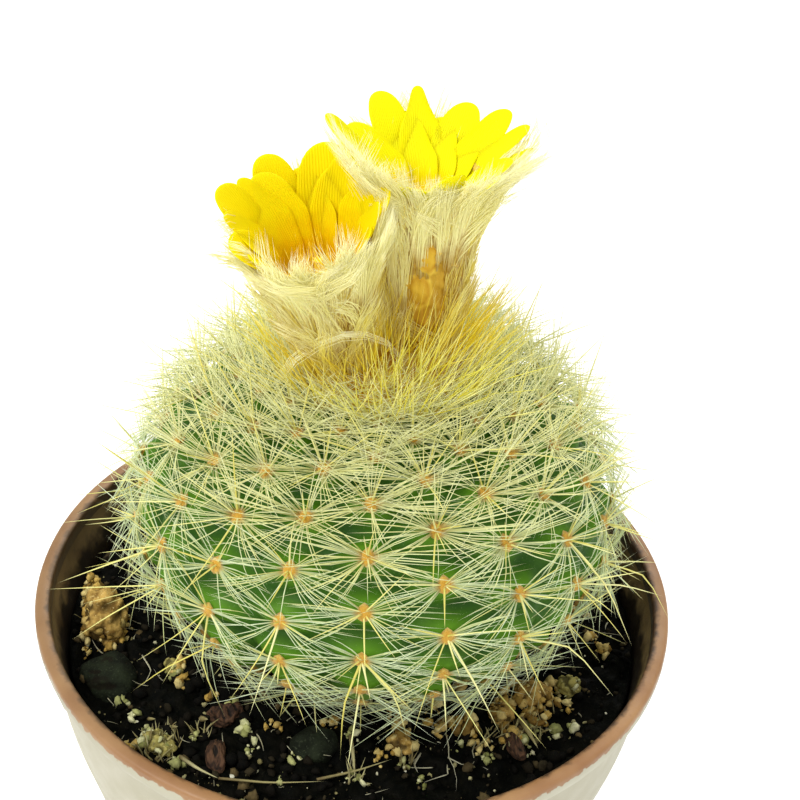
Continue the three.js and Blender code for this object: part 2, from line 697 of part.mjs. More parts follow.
// The petals of a flower in two layers, rooted in a short collar inside the tube's cup.
function flowerPetals(flower) {
  const random = seeded(flower.seed + 1);
  const { length } = flower.tube;
  const low = length - PETAL.sunk;
  const root = cupRadius(flower, low) - GAP - PETAL.thickness / 2 - 0.1;
  const inner = root - PETAL.layerGap - 0.5;
  const collar = [
    [inner, low - 1.6],
    [cupRadius(flower, low - 1.6) - GAP - 0.1, low - 1.6],
    [root + 0.3, low + 0.5],
    [inner, low + 0.5],
    [inner, low - 1.6],
  ];
  const parts = [solidOf(turned(collar, 16))];
  const other = FLOWERS.find((one) => one !== flower);
  const towards = V(...other.base).sub(V(...flower.base)).setZ(0).normalize();
  PETAL.layers.forEach((count, layer) => {
    const from = root - PETAL.layerGap * layer;
    for (let k = 0; k < count; k++) {
      const turn = (TAU * (k + 0.5 * layer)) / count + 0.04 * (random() - 0.5);
      const facing = Math.max(0, towards.x * Math.cos(turn) + towards.y * Math.sin(turn));
      const open = flower.petals.flare - from - 0.35 * layer;
      const flare = from + open * (1 - PETAL.crowding * facing) - PETAL.layerGap * layer * 0.2;
      const rise = flower.petals.rise + 0.6 * layer + 0.8 * facing + 0.5 * (random() - 0.5);
      const line = (share) => [
        lerp(from, flare, Math.max(0, (share - PETAL.bend) / (1 - PETAL.bend))),
        low + rise * share,
      ];
      parts.push(petal(turn, line, flower.petals.width, count));
    }
  });
  return joined(parts).transform(flower.matrix.elements);
}

// The flower's centre: a low disc whose top faces rise to stamens, and a style with lobes.
function flowerCentre(flower) {
  const random = seeded(flower.seed + 2);
  const surface = new Surface();
  const low = flower.tube.length - CUP.depth + GAP;
  const drawEnd = (start) => {
    const local = start.clone().applyMatrix4(flower.inverse);
    local.add(V(local.x * 0.45, local.y * 0.45, 5.6 + random()));
    return local.applyMatrix4(flower.matrix);
  };
  const onFace = (corners, row) => {
    if (row < 1) surface.faces.push(corners);
    else surface.raise(surface.inset(corners, 0.4), "centre", drawEnd, () => true);
  };
  surface.lathe([[1.9, low], [2.4, low + 1.1]], [low, low + 1.5], 10, flower.matrix, onFace);
  const parts = [
    surface.solid(),
    solidOf(
      new THREE.ConeGeometry(0.7, 9, 5)
        .rotateX(Math.PI / 2)
        .translate(0, 0, low + 5)
        .applyMatrix4(flower.matrix),
    ),
  ];
  for (let k = 0; k < 4; k++) {
    const turn = (TAU * (k + 0.5)) / 4;
    const direction = V(0.9 * Math.cos(turn), 0.9 * Math.sin(turn), 0.8).normalize();
    const lobe = needle(V(0, 0, low + 7.4), direction, 2.2, 0.36);
    parts.push(solidOf(lobe.applyMatrix4(flower.matrix)));
  }
  return joined(parts);
}

function mesh(name, solid, colour, roughness) {
  const material = new THREE.MeshStandardMaterial({ color: colour, roughness, metalness: 0 });
  const made = new THREE.Mesh(geometryOf(solid), material);
  made.name = name;
  return made;
}

const group = new THREE.Group();
group.add(mesh("pot", pot(), 0xb98a66, 0.5));
const sunk = DEBRIS.map((piece, index) => debrisSolid(piece, index));
const sockets = DEBRIS.map((piece, index) => debrisSolid(piece, index, GAP));
group.add(mesh("soil", soil().subtract(joined(sockets)), 0x1d1a17, 1.0));
DEBRIS.forEach((piece, index) => group.add(mesh(piece.name, sunk[index], COLOURS[piece.kind], 0.9)));
group.add(mesh("cactus_body", cactusBody(), 0x84a864, 0.5));
group.add(mesh("crown_wool", crownWool(), 0xe2dc9a, 0.9));
for (const flower of FLOWERS) {
  group.add(mesh(flower.name + "_tube", flowerTube(flower), 0xd8cf94, 0.9));
  group.add(mesh(flower.name + "_petals", flowerPetals(flower), 0xf4e60a, 0.55));
  group.add(mesh(flower.name + "_centre", flowerCentre(flower), 0xf0d860, 0.7));
}

export default group;
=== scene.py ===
"""A round cactus in flower, in a small pot of dark soil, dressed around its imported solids.

Sizes are millimetres up to the moment that a mesh is made, and Blender's metres after it.
The front is -Y, the right is +X, and the origin is the middle of the pot's flat base.
"""

import logging
import math
from dataclasses import dataclass, field
from enum import Enum
from typing import Protocol

import bpy
import numpy as np
from mathutils import Matrix, Quaternion, Vector


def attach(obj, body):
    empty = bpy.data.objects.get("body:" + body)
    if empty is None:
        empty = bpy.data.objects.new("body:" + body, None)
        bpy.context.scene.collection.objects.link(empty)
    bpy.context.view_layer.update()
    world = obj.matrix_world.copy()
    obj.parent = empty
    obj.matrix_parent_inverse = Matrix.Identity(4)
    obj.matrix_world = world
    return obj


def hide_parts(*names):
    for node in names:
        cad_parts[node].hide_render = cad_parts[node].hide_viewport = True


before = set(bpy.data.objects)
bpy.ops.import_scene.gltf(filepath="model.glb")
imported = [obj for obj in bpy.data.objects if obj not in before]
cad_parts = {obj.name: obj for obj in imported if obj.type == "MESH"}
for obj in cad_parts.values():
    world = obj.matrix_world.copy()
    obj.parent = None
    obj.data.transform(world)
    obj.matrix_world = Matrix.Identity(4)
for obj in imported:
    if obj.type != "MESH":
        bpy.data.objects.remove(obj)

LOG = logging.getLogger("potted_cactus")
MM = 0.001
TAU = 2 * math.pi
Array = np.ndarray
Chance = np.random.Generator
dice = np.random.default_rng
Piece = bpy.types.Object
Material = bpy.types.Material
Socket = bpy.types.NodeSocket
Pair = tuple[float, float]
Point = tuple[float, float, float]
Colour = tuple[float, float, float, float]
Stops = tuple[tuple[float, str], ...]
Way = tuple[Point, ...]
Heap = tuple[float, float, float, float, int]
RADIAL_SEED, CENTRAL_SEED, BRISTLE_SEED, ROOT_SEED, STRAW_SEED = 41, 43, 51, 71, 72


# Numbers and vectors.

def lerp(low: float | Array, high: float | Array, share: float | Array) -> float | Array:
    """Returns the value at a share of the way from low to high."""
    return low + (high - low) * share


def smooth(value: float | Array, low: float, high: float) -> Array:
    """Returns 0 below low, 1 above high and a soft step between them."""
    share = np.clip((np.asarray(value, float) - low) / (high - low), 0.0, 1.0)
    return share * share * (3 - 2 * share)


def unit(vectors: Array) -> Array:
    """Returns the vectors at length one."""
    return vectors / np.maximum(np.linalg.norm(vectors, axis=-1, keepdims=True), 1e-12)


def dot(first: Array, second: Array) -> Array:
    """Returns the dot products of rows, kept as a last axis of one."""
    return np.sum(first * second, axis=-1, keepdims=True)


def polar(turn: Array, radius: Array | float, height: Array | float) -> Array:
    """Returns places at a turn, a radius and a height about Z."""
    return np.stack(np.broadcast_arrays(radius * np.cos(turn), radius * np.sin(turn), height), axis=-1)


def from_z(points: Array) -> Array:
    """Returns how far points are from the Z axis."""
    return np.hypot(points[:, 0], points[:, 1])


def waves(points: Array, size: float, seed: int, octaves: int = 3) -> Array:
    """Gives a smooth random field between about -1 and 1.

    Args:
        points: places in millimetres, one a row.
        size: width of the largest waves, in millimetres.
        seed: which field it is.
        octaves: how many finer layers are added.

    Returns:
        One value for each point.
    """
    random = dice(seed)
    total, headings, evened = np.zeros(len(points)), 7, 2.6
    weight, scale, weights = 1.0, TAU / (2.2 * size), 0.0
    for _ in range(octaves):
        layer = np.zeros(len(points))
        for _ in range(headings):
            heading = unit(random.normal(size=3))
            phase = points @ heading * scale * random.uniform(0.7, 1.4)
            layer += np.sin(phase + random.uniform(0, TAU))
        total += weight * layer / evened
        weights += weight
        weight *= 0.55
        scale *= 2.1
    return total / weights


# Meshes.

def deselect() -> None:
    """Leaves nothing selected and no object in edit mode."""
    if bpy.context.object and bpy.context.object.mode != "OBJECT":
        bpy.ops.object.mode_set(mode="OBJECT")
    bpy.ops.object.select_all(action="DESELECT")


def named(piece: Piece, name: str) -> Piece:
    """Returns a piece after naming it and its mesh."""
    piece.name = piece.data.name = name
    return piece


def made(name: str) -> Piece:
    """Returns the object that an operator has just added, under its name."""
    return named(bpy.context.active_object, name)


def vertices_of(piece: Piece) -> Array:
    """Returns a piece's vertices in millimetres, one a row."""
    flat = np.empty(3 * len(piece.data.vertices))
    piece.data.vertices.foreach_get("co", flat)
    return flat.reshape(-1, 3) / MM


def set_vertices(piece: Piece, points: Array) -> None:
    """Moves a piece's vertices to places in millimetres."""
    piece.data.vertices.foreach_set("co", (points * MM).ravel())
    piece.data.update()


def select(piece: Piece) -> None:
    """Selects a piece alone and makes it the active object."""
    deselect()
    piece.select_set(True)
    bpy.context.view_layer.objects.active = piece


def apply_place(piece: Piece) -> None:
    """Puts an object's place, turn and scale into its mesh."""
    select(piece)
    bpy.ops.object.transform_apply(location=True, rotation=True, scale=True)


def modify(piece: Piece, kind: str, **settings: float | bool | int | str) -> None:
    """Adds a modifier and applies it.

    Args:
        piece: the piece.
        kind: the modifier's type.
        **settings: its values by name.
    """
    select(piece)
    modifier = piece.modifiers.new(kind, kind)
    for key, value in settings.items():
        setattr(modifier, key, value)
    bpy.ops.object.modifier_apply(modifier=modifier.name)


def shade(piece: Piece, degrees: float = 180.0) -> None:
    """Shades a piece smooth, but for edges sharper than an angle.

    Args:
        piece: the piece.
        degrees: the angle from which an edge stays sharp.
    """
    select(piece)
    if degrees >= 180:
        bpy.ops.object.shade_smooth()
    else:
        bpy.ops.object.shade_smooth_by_angle(angle=math.radians(degrees))


def turned(name: str, profile: list[Pair], steps: int) -> Piece:
    """Spins a profile about Z into a closed body.

    Args:
        name: the piece's name.
        profile: (radius, height) pairs in millimetres that start and end on the axis.
        steps: how many sides it gets.

    Returns:
        The piece.
    """
    deselect()
    bpy.ops.mesh.primitive_plane_add(size=MM)
    piece = made(name)
    bpy.ops.object.mode_set(mode="EDIT")
    bpy.ops.mesh.select_all(action="SELECT")
    bpy.ops.mesh.merge(type="CENTER")
    bpy.ops.transform.translate(value=(profile[0][0] * MM, 0, profile[0][1] * MM))
    for (r0, z0), (r1, z1) in zip(profile, profile[1:]):
        step = ((r1 - r0) * MM, 0, (z1 - z0) * MM)
        bpy.ops.mesh.extrude_region_move(TRANSFORM_OT_translate={"value": step})
    bpy.ops.mesh.select_all(action="SELECT")
    bpy.ops.mesh.spin(steps=steps, angle=TAU, center=(0, 0, 0), axis=(0, 0, 1))
    bpy.ops.mesh.select_all(action="SELECT")
    bpy.ops.mesh.remove_doubles(threshold=1e-6)
    bpy.ops.mesh.normals_make_consistent(inside=False)
    bpy.ops.object.mode_set(mode="OBJECT")
    return piece


def rounded(profile: list[Point], steps: int = 5) -> list[Pair]:
    """Rounds the corners of a profile.

    Args:
        profile: (radius, height, corner radius) of each corner, in millimetres.
        steps: how many points a rounded corner gets.

    Returns:
        The rounded profile's (radius, height) pairs.
    """
    result = [profile[0][:2]]
    for before, (r, z, corner), after in zip(profile, profile[1:], profile[2:]):
        here = np.array([r, z])
        back = np.array(before[:2]) - here
        on = np.array(after[:2]) - here
        reach = min(corner, 0.45 * np.linalg.norm(back), 0.45 * np.linalg.norm(on))
        if reach < 1e-3:
            result.append((r, z))
            continue
        start, end = here + unit(back) * reach, here + unit(on) * reach
        for share in np.linspace(0, 1, steps):
            spot = lerp(lerp(start, here, share), lerp(here, end, share), share)
            result.append((float(spot[0]), float(spot[1])))
    return result + [profile[-1][:2]]


@dataclass(frozen=True)
class Shape:
    """A small shape that is modelled once and then copied many times."""

    points: Array
    faces: tuple[tuple[int, ...], ...]

    @staticmethod
    def taken(piece: Piece) -> "Shape":
        """Takes the shape from a modelled piece and removes the piece.

        Args:
            piece: the modelled piece.

        Returns:
            Its shape, in millimetres.
        """
        shape = Shape(vertices_of(piece), tuple(tuple(face.vertices) for face in piece.data.polygons))
        bpy.data.objects.remove(piece)
        return shape

    @staticmethod
    def needle(sides: int, cuts: tuple[float, ...], bulb: float = 1.0) -> "Shape":
        """Models a needle of length and foot radius one, pointing up.

        Args:
            sides: how many sides it has.
            cuts: the heights of its rings.
            bulb: how much wider its foot is.

        Returns:
            The needle.
        """
        deselect()
        bpy.ops.mesh.primitive_cone_add(
            vertices=sides, radius1=MM, radius2=0, depth=MM, location=(0, 0, 0.5 * MM))
        piece = made("needle")
        apply_place(piece)
        bpy.ops.object.mode_set(mode="EDIT")
        for cut in cuts:
            bpy.ops.mesh.select_all(action="SELECT")
            bpy.ops.mesh.bisect(plane_co=(0, 0, cut * MM), plane_no=(0, 0, 1))
        bpy.ops.object.mode_set(mode="OBJECT")
        shape = Shape.taken(piece)
        points = shape.points.copy()
        height = points[:, 2:]
        slim = (1 - height ** 1.7) / np.maximum(1 - height, 1e-6)
        points[:, :2] *= np.where(height > 0.999, 1, slim) * np.where(height < 0.01, bulb, 1)
        return Shape(points, shape.faces)

    @staticmethod
    def ball(subdivisions: int) -> "Shape":
        """Returns a ball of radius one that is divided as finely as is asked."""
        bpy.ops.mesh.primitive_ico_sphere_add(subdivisions=subdivisions, radius=MM)
        return Shape.taken(made("ball"))

    @staticmethod
    def bead() -> "Shape":
        """Returns a ball of radius one with few faces."""
        bpy.ops.mesh.primitive_uv_sphere_add(segments=8, ring_count=6, radius=MM)
        return Shape.taken(made("bead"))

    @staticmethod
    def lump() -> "Shape":
        """Models a block with rounded corners, about as large as a ball of radius one.

        Returns:
            The block.
        """
        deselect()
        bpy.ops.mesh.primitive_cube_add(size=2 * MM)
        bpy.ops.object.mode_set(mode="EDIT")
        bpy.ops.mesh.select_all(action="SELECT")
        bpy.ops.mesh.subdivide(number_cuts=1)
        bpy.ops.transform.tosphere(value=0.8)
        bpy.ops.object.mode_set(mode="OBJECT")
        block = Shape.taken(made("lump"))
        size = np.linalg.norm(block.points, axis=1).mean()
        return Shape(block.points / size, block.faces)


def linked(name: str, data: bpy.types.ID) -> Piece:
    """Makes an object of a mesh, a camera or a light and puts it into the scene.

    Args:
        name: its name.
        data: what it shows.

    Returns:
        The object.
    """
    thing = bpy.data.objects.new(name, data)
    bpy.context.scene.collection.objects.link(thing)
    return thing


def repeated(name: str, shape: Shape, places: Array, grain: Array | None = None) -> Piece:
    """Makes one piece of many copies of a shape.

    Args:
        name: the piece's name.
        shape: the shape that is copied.
        places: the points of every copy, copies x points x 3, in millimetres.
        grain: three values for each point of each copy, kept for the finish.

    Returns:
        The piece.
    """
    count, size = places.shape[:2]
    offsets = np.arange(count) * size
    faces: list[tuple[int, ...]] = []
    by_length: dict[int, list[tuple[int, ...]]] = {}
    for face in shape.faces:
        by_length.setdefault(len(face), []).append(face)
    for group in by_length.values():
        corners = np.array(group)[None] + offsets[:, None, None]
        faces.extend(map(tuple, corners.reshape(-1, corners.shape[-1]).tolist()))
    mesh = bpy.data.meshes.new(name)
    mesh.from_pydata((places.reshape(-1, 3) * MM).tolist(), [], faces)
    piece = linked(name, mesh)
    if grain is not None:
        set_grain(piece, grain.reshape(-1, 3))
    return piece


def set_grain(piece: Piece, grain: Array) -> None:
    """Keeps three values at each vertex, which the finish reads as its grain."""
    layer = piece.data.attributes.new(name="grain", type="FLOAT_VECTOR", domain="POINT")
    layer.data.foreach_set("vector", grain.astype(np.float32).ravel())


def set_shade(piece: Piece, shades: Array) -> None:
    """Keeps one value at each vertex as all three values of its grain."""
    set_grain(piece, np.stack([shades, shades, shades], axis=1))


@dataclass
class Strands:
    """Tapering strands, such as spines, bristles, wool and roots, made into one piece.

    Each strand is a copy of one needle that is bent along its own path.
    """

    needle: Shape
    paths: list[Array] = field(default_factory=list)
    marks: list[Array] = field(default_factory=list)

    @property
    def levels(self) -> Array:
        """Returns the heights of the needle's rings, from 0 to 1."""
        return np.unique(np.round(self.needle.points[:, 2], 4))

    def follow(self, paths: Array, width: Array | float, tone: Array | float,
               place: Array | float) -> None:
        """Adds strands along paths, with their foot's radius, a shade by chance and where they grow."""
        self.paths.append(paths)
        self.marks.append(np.stack(np.broadcast_arrays(width, tone, place, paths[:, 0, 0])[:3], axis=1))

    def arch(self, start: Array, reach: Array, bend: Array, width: Array | float, tone: Array | float,
             place: Array | float) -> None:
        """Adds strands that arch evenly from their starts, with their tips pushed aside by their bends."""
        along = self.levels[None, :, None]
        self.follow(start[:, None] + reach[:, None] * along + bend[:, None] * along ** 2,
                    width, tone, place)

    def bundle(self, way: Way, count: int, spread: float, width: float, random: Chance,
               place: float = 0.5) -> None:
        """Adds strands that run together along a way.

        Args:
            way: the places that they pass.
            count: how many strands.
            spread: how far they stray from the way.
            width: their radius.
            random: the source of chance.
            place: where on the plant they grow, from 0 to 1.
        """
        knots, fine, rounds = np.linspace(0, 1, len(way)), np.linspace(0, 1, 81), 60
        line = np.stack([np.interp(fine, knots, axis) for axis in np.array(way, float).T], axis=1)
        for _ in range(rounds):
            line[1:-1] = (line[:-2] + 2 * line[1:-1] + line[2:]) / 4
        middle = np.stack([np.interp(self.levels, fine, axis) for axis in line.T], axis=1)
        stray = random.normal(0, spread, (2, count, 1, 3))
        swing = np.sin(math.pi * self.levels)[None, :, None]
        paths = middle + stray[0] * (0.35 + 0.65 * swing) + stray[1] * (self.levels - 0.5)[None, :, None]
        self.follow(paths, width * random.uniform(0.75, 1.2, count), random.random(count), place)

    def piece(self, name: str) -> Piece:
        """Makes the piece.

        Args:
            name: the piece's name.

        Returns:
            The piece.
        """
        paths, levels = np.concatenate(self.paths), self.levels
        level = np.searchsorted(levels, np.round(self.needle.points[:, 2], 4))
        heading = unit(np.gradient(paths, levels, axis=1))
        first = unit(paths[:, -1] - paths[:, 0])
        helper = np.where(np.abs(first[:, 2:]) < 0.8, [[0.0, 0.0, 1.0]], [[1.0, 0.0, 0.0]])
        side = unit(np.cross(heading, np.broadcast_to(helper[:, None], heading.shape)))
        other = np.cross(heading, side)
        width, tone, place = np.concatenate(self.marks).T[..., None]
        across = self.needle.points[None, :, :2] * width[..., None]
        places = paths[:, level] + side[:, level] * across[..., :1] + other[:, level] * across[..., 1:]
        grain = np.empty(places.shape)
        grain[..., 0], grain[..., 1], grain[..., 2] = tone, levels[level], place
        piece = repeated(name, self.needle, places, grain)
        shade(piece)
        return piece


# Finishes.

def paint(code: str) -> Colour:
    """Returns a display colour such as "a0b1c2" as a linear one with an alpha of one."""
    parts = [int(code[k:k + 2], 16) / 255 for k in (0, 2, 4)]
    return tuple(c / 12.92 if c <= 0.04045 else ((c + 0.055) / 1.055) ** 2.4 for c in parts) + (1.0,)


class Axis(Enum):
    """Which of a vector's three values is read."""

    X = 0
    Y = 1
    Z = 2


class Dye:
    """Lays out the nodes of one finish, step by step."""

    def __init__(self, name: str, roughness: float, specular: float = 0.5) -> None:
        """Starts a material.

        Args:
            name: its name.
            roughness: how rough it is where nothing else says so.
            specular: how strongly it shines.
        """
        self.material = bpy.data.materials.new(name)
        self.material.use_nodes = True
        self.tree = self.material.node_tree
        self.shader = self.tree.nodes["Principled BSDF"]
        self.shader.inputs["Roughness"].default_value = roughness
        self.shader.inputs["Specular IOR Level"].default_value = specular

    def fill(self, node: bpy.types.Node, inputs: dict[str, object]) -> None:
        """Gives a node's inputs their values or links, by names with _ for a space."""
        for key, value in inputs.items():
            self.join(value, node.inputs[key.replace("_", " ")])

    def add(self, kind: str, **inputs: object) -> bpy.types.Node:
        """Adds a node.

        Args:
            kind: its type, without the prefix.
            **inputs: a value or a socket for each input.

        Returns:
            The node.
        """
        node = self.tree.nodes.new("ShaderNode" + kind)
        self.fill(node, inputs)
        return node

    def join(self, value: object, socket: Socket) -> None:
        """Links a socket to another, or sets its value.

        Args:
            value: a socket, a number or a colour.
            socket: the input that takes it.
        """
        if isinstance(value, Socket):
            self.tree.links.new(value, socket)
        else:
            socket.default_value = value

    def place(self, scale: Point = (1, 1, 1)) -> Socket:
        """Returns the place on the object in millimetres, squeezed by a scale along each axis."""
        here = self.add("TexCoord").outputs["Object"]
        return self.add("Mapping", Vector=here, Scale=[1000 * s for s in scale]).outputs["Vector"]

    def grain(self, axis: Axis) -> Socket:
        """Returns one of the three values kept at the vertices."""
        node = self.add("Attribute")
        node.attribute_name = "grain"
        return self.part(node.outputs["Vector"], axis)

    def part(self, vector: Socket, axis: Axis) -> Socket:
        """Returns one value of a vector."""
        return self.add("SeparateXYZ", Vector=vector).outputs[axis.value]

    def noise(self, vector: Socket, size: float, detail: float = 4.0,
              warp: float = 0.0) -> Socket:
        """Returns noise about 0.5, in clouds of a size in millimetres, stirred by the warp."""
        node = self.add("TexNoise", Vector=vector, Scale=1 / size, Detail=detail, Distortion=warp)
        return node.outputs[0]

    def cells(self, vector: Socket, size: float) -> Socket:
        """Returns the distance to the middle of scattered cells of a size in millimetres."""
        return self.add("TexVoronoi", Vector=vector, Scale=1 / size).outputs["Distance"]

    def ramp(self, value: Socket, *stops: tuple[float, str]) -> Socket:
        """Gives colours along a value.

        Args:
            value: the value.
            *stops: where each colour stands, and the colour.

        Returns:
            The colour.
        """
        node = self.add("ValToRGB", Fac=value)
        elements = node.color_ramp.elements
        while len(elements) < len(stops):
            elements.new(0.5)
        for element, (where, code) in zip(elements, stops):
            element.position = where
            element.color = paint(code)
        return node.outputs["Color"]

    def range(self, value: Socket, low: float, high: float, start: float = 0.0,
              end: float = 1.0) -> Socket:
        """Returns a value stretched so that low becomes start and high becomes end, and kept between."""
        spans = {"From_Min": low, "From_Max": high, "To_Min": start, "To_Max": end}
        return self.add("MapRange", Value=value, **spans).outputs["Result"]

    def mix(self, share: object, first: object, second: object) -> Socket:
        """Mixes two colours, each of them a socket or a display colour's code.

        Args:
            share: how much of the second there is.
            first: a colour.
            second: a colour.

        Returns:
            The colour.
        """
        node = self.tree.nodes.new("ShaderNodeMix")
        node.data_type = "RGBA"
        for value, index in ((share, 0), (first, 6), (second, 7)):
            self.join(paint(value) if isinstance(value, str) else value, node.inputs[index])
        return node.outputs[2]

    def maths(self, operation: str, first: object, second: object) -> Socket:
        """Returns the result of a sum on two values."""
        node = self.tree.nodes.new("ShaderNodeMath")
        node.operation = operation
        self.join(first, node.inputs[0])
        self.join(second, node.inputs[1])
        return node.outputs[0]

    def tint(self, base: Socket, colour: object, value: Socket, *spans: float) -> Socket:
        """Returns a colour with another laid over it, as much of it as a value's range says."""
        return self.mix(self.range(value, *spans), base, colour)

    def ragged(self, value: Socket, place: Socket, size: float, detail: float, reach: float) -> Socket:
        """Returns a value that noise moves up and down by a reach, for ragged edges."""
        return self.maths("ADD", value, self.range(self.noise(place, size, detail), 0.3, 0.7, -reach, reach))

    def bump(self, height: Socket, depth: float, strength: float = 1.0) -> None:
        """Raises the surface by a height from 0 to 1, which stands for a depth in millimetres."""
        node = self.add("Bump", Strength=strength, Distance=depth * MM, Height=height)
        self.tree.links.new(node.outputs["Normal"], self.shader.inputs["Normal"])

    def done(self, colour: Socket, **sockets: object) -> Material:
        """Returns the material, after its shader got its colour and other inputs."""
        self.fill(self.shader, {"Base_Color": colour, **sockets})
        return self.material


class Finish(Protocol):
    """What every finish can do."""

    def make(self) -> Material:
        """Returns the material."""


def dressed(piece: Piece, *finishes: Finish) -> Piece:
    """Gives a piece its finishes, one material slot for each.

    Args:
        piece: the piece.
        *finishes: its finishes.

    Returns:
        The piece.
    """
    for finish in finishes:
        piece.data.materials.append(finish.make())
    return piece


@dataclass(frozen=True)
class PlasticFinish:
    """Moulded plastic with a little dust in its pores, painted shade below a line and on the lip's inner
    edge, and painted shade towards its left side.
    """

    name: str
    light: str
    dark: str
    shade_colour: str
    roughness: float = 0.45
    shade_line: float = 60.0
    left_shade: float = 0.0
    inner_shade_edge: float = 0.0
    rim: float = -99.0
    below: str = "b6b29c"

    def make(self) -> Material:
        """Returns the material."""
        dye = Dye(self.name, self.roughness, 0.4)
        place = dye.place()
        base = dye.mix(dye.range(dye.noise(place, 9.0, 5), 0.35, 0.65), self.light, self.dark)
        base = dye.tint(base, self.dark, dye.noise(dye.place((1, 1, 3)), 0.7, 3), 0.62, 0.78, 0, 0.5)
        # Painted shade: darker below the shade line, which inside the pot runs down to the soil.
        height = dye.part(place, Axis.Z)
        edge = dye.ragged(height, place, 2.5, 5, 1.6)
        base = dye.tint(base, self.shade_colour, edge, self.shade_line + 1.2, self.shade_line - 1.6)
        rim = dye.ragged(height, place, 1.1, 4, 0.35)
        base = dye.tint(base, self.below, rim, self.rim + 0.1, self.rim - 0.1)
        # Painted shade on the lip's inner edge, where it turns into the pot.
        squares = [dye.maths("POWER", dye.part(place, axis), 2.0) for axis in (Axis.X, Axis.Y)]
        out = dye.maths("SQRT", dye.maths("ADD", *squares), 0.0)
        inner = dye.ragged(out, place, 1.6, 4, 0.35)
        base = dye.tint(base, self.shade_colour, inner, self.inner_shade_edge + 0.3, self.inner_shade_edge - 0.4, 0, 0.9)
        # Painted shade: darker towards the left side.
        base = dye.tint(base, "6f5a3a", dye.part(place, Axis.X), -18.0, -42.0, 0, self.left_shade)
        dye.bump(dye.noise(place, 0.35, 4), 0.05, 0.5)
        rough = dye.range(dye.noise(place, 3.0, 3), 0.3, 0.7, self.roughness - 0.08, self.roughness + 0.14)
        return dye.done(base, Roughness=rough)


@dataclass(frozen=True)
class EarthFinish:
    """Dark crumbly soil, damp low down and dusty on its crumbs."""

    name: str
    damp: str
    dry: str
    fleck: str

    def make(self) -> Material:
        """Returns the material."""
        dye = Dye(self.name, 0.85, 0.04)
        place = dye.place()
        base = dye.mix(dye.range(dye.noise(place, 1.3, 6), 0.42, 0.68), self.damp, self.dry)
        flecks = dye.range(dye.cells(place, 0.55), 0.16, 0.07)
        chosen = dye.range(dye.noise(place, 1.6, 2), 0.62, 0.68)
        base = dye.mix(dye.maths("MULTIPLY", flecks, chosen), base, self.fleck)
        dye.bump(dye.noise(place, 0.4, 5), 0.25, 0.8)
        rough = dye.range(dye.noise(place, 2.0, 3), 0.35, 0.65, 0.55, 0.95)
        return dye.done(base, Roughness=rough)


@dataclass(frozen=True)
class CrumbFinish:
    """Loose grains, each of its own shade, read from the grain kept at the vertices."""

    name: str
    stops: Stops
    roughness: float = 0.85

    def make(self) -> Material:
        """Returns the material."""
        dye = Dye(self.name, self.roughness, 0.08)
        place = dye.place()
        base = dye.ramp(dye.grain(Axis.X), *self.stops)
        base = dye.tint(base, dye.mix(0.5, base, "1c1610"), dye.noise(place, 0.5, 4), 0.35, 0.8)
        dye.bump(dye.noise(place, 0.25, 4), 0.12, 0.8)
        return dye.done(base)


@dataclass(frozen=True)
class StoneFinish:
    """A stone or a dry clump with painted shade in its hollows and fine specks."""

    name: str
    light: str
    dark: str
    speck: str
    mottle: float

    def make(self) -> Material:
        """Returns the material."""
        dye = Dye(self.name, 0.8, 0.1)
        place = dye.place()
        base = dye.mix(dye.range(dye.noise(place, self.mottle, 6), 0.38, 0.66), self.light, self.dark)
        base = dye.tint(base, self.speck, dye.noise(place, 0.28, 3), 0.6, 0.7, 0, 0.8)
        # Painted shade: darker in the hollows that the grain marks.
        base = dye.tint(base, dye.mix(0.75, base, "150f08"), dye.grain(Axis.X), 0.55, 0.1)
        dye.bump(dye.noise(place, 0.3, 5), 0.16, 0.9)
        return dye.done(base)


@dataclass(frozen=True)
class BarkFinish:
    """A chip of bark or straw with fibres along it and painted shade in its dents."""

    name: str
    light: str
    dark: str

    def make(self) -> Material:
        """Returns the material."""
        dye = Dye(self.name, 0.8, 0.25)
        fibres = dye.noise(dye.place((1, 0.25, 1)), 0.5, 5, 0.6)
        base = dye.mix(dye.range(fibres, 0.38, 0.62), self.dark, self.light)
        # Painted shade: darker in the dents that the grain marks.
        base = dye.tint(base, "17100a", dye.grain(Axis.X), 0.5, 0.1)
        dye.bump(fibres, 0.25, 0.9)
        return dye.done(base)


@dataclass(frozen=True)
class SkinFinish:
    """Waxy green skin with painted shade in its valleys, paler low down and corky where it meets the soil."""

    ridge: str = "5b8c16"
    valley: str = "1c450a"
    low: str = "8c9c62"
    cork: str = "7d7256"

    def make(self) -> Material:
        """Returns the material."""
        dye = Dye("waxy_green_skin", 0.5, 0.22)
        place = dye.place()
        # Painted shade: darker in the valleys between the areoles' mounds, by the grain.
        base = dye.mix(dye.range(dye.grain(Axis.X), 0.0, 0.75), self.valley, self.ridge)
        clouds = dye.range(dye.noise(place, 4.5, 5), 0.3, 0.7)
        base = dye.mix(dye.maths("MULTIPLY", clouds, 0.4), base, "41780c")
        base = dye.tint(base, "7fa45e", dye.cells(place, 0.42), 0.2, 0.08, 0, 0.3)
        height = dye.part(place, Axis.Z)
        edge = dye.ragged(height, place, 3.0, 4, 2.0)
        base = dye.tint(base, self.low, edge, 72.0, 66.5, 0, 0.5)
        base = dye.tint(base, self.cork, edge, 67.5, 63.5, 0, 0.9)
        dye.bump(dye.noise(place, 0.5, 4), 0.06, 0.6)
        rough = dye.range(dye.noise(place, 1.5, 3), 0.3, 0.7, 0.45, 0.65)
        return dye.done(base, Roughness=rough)


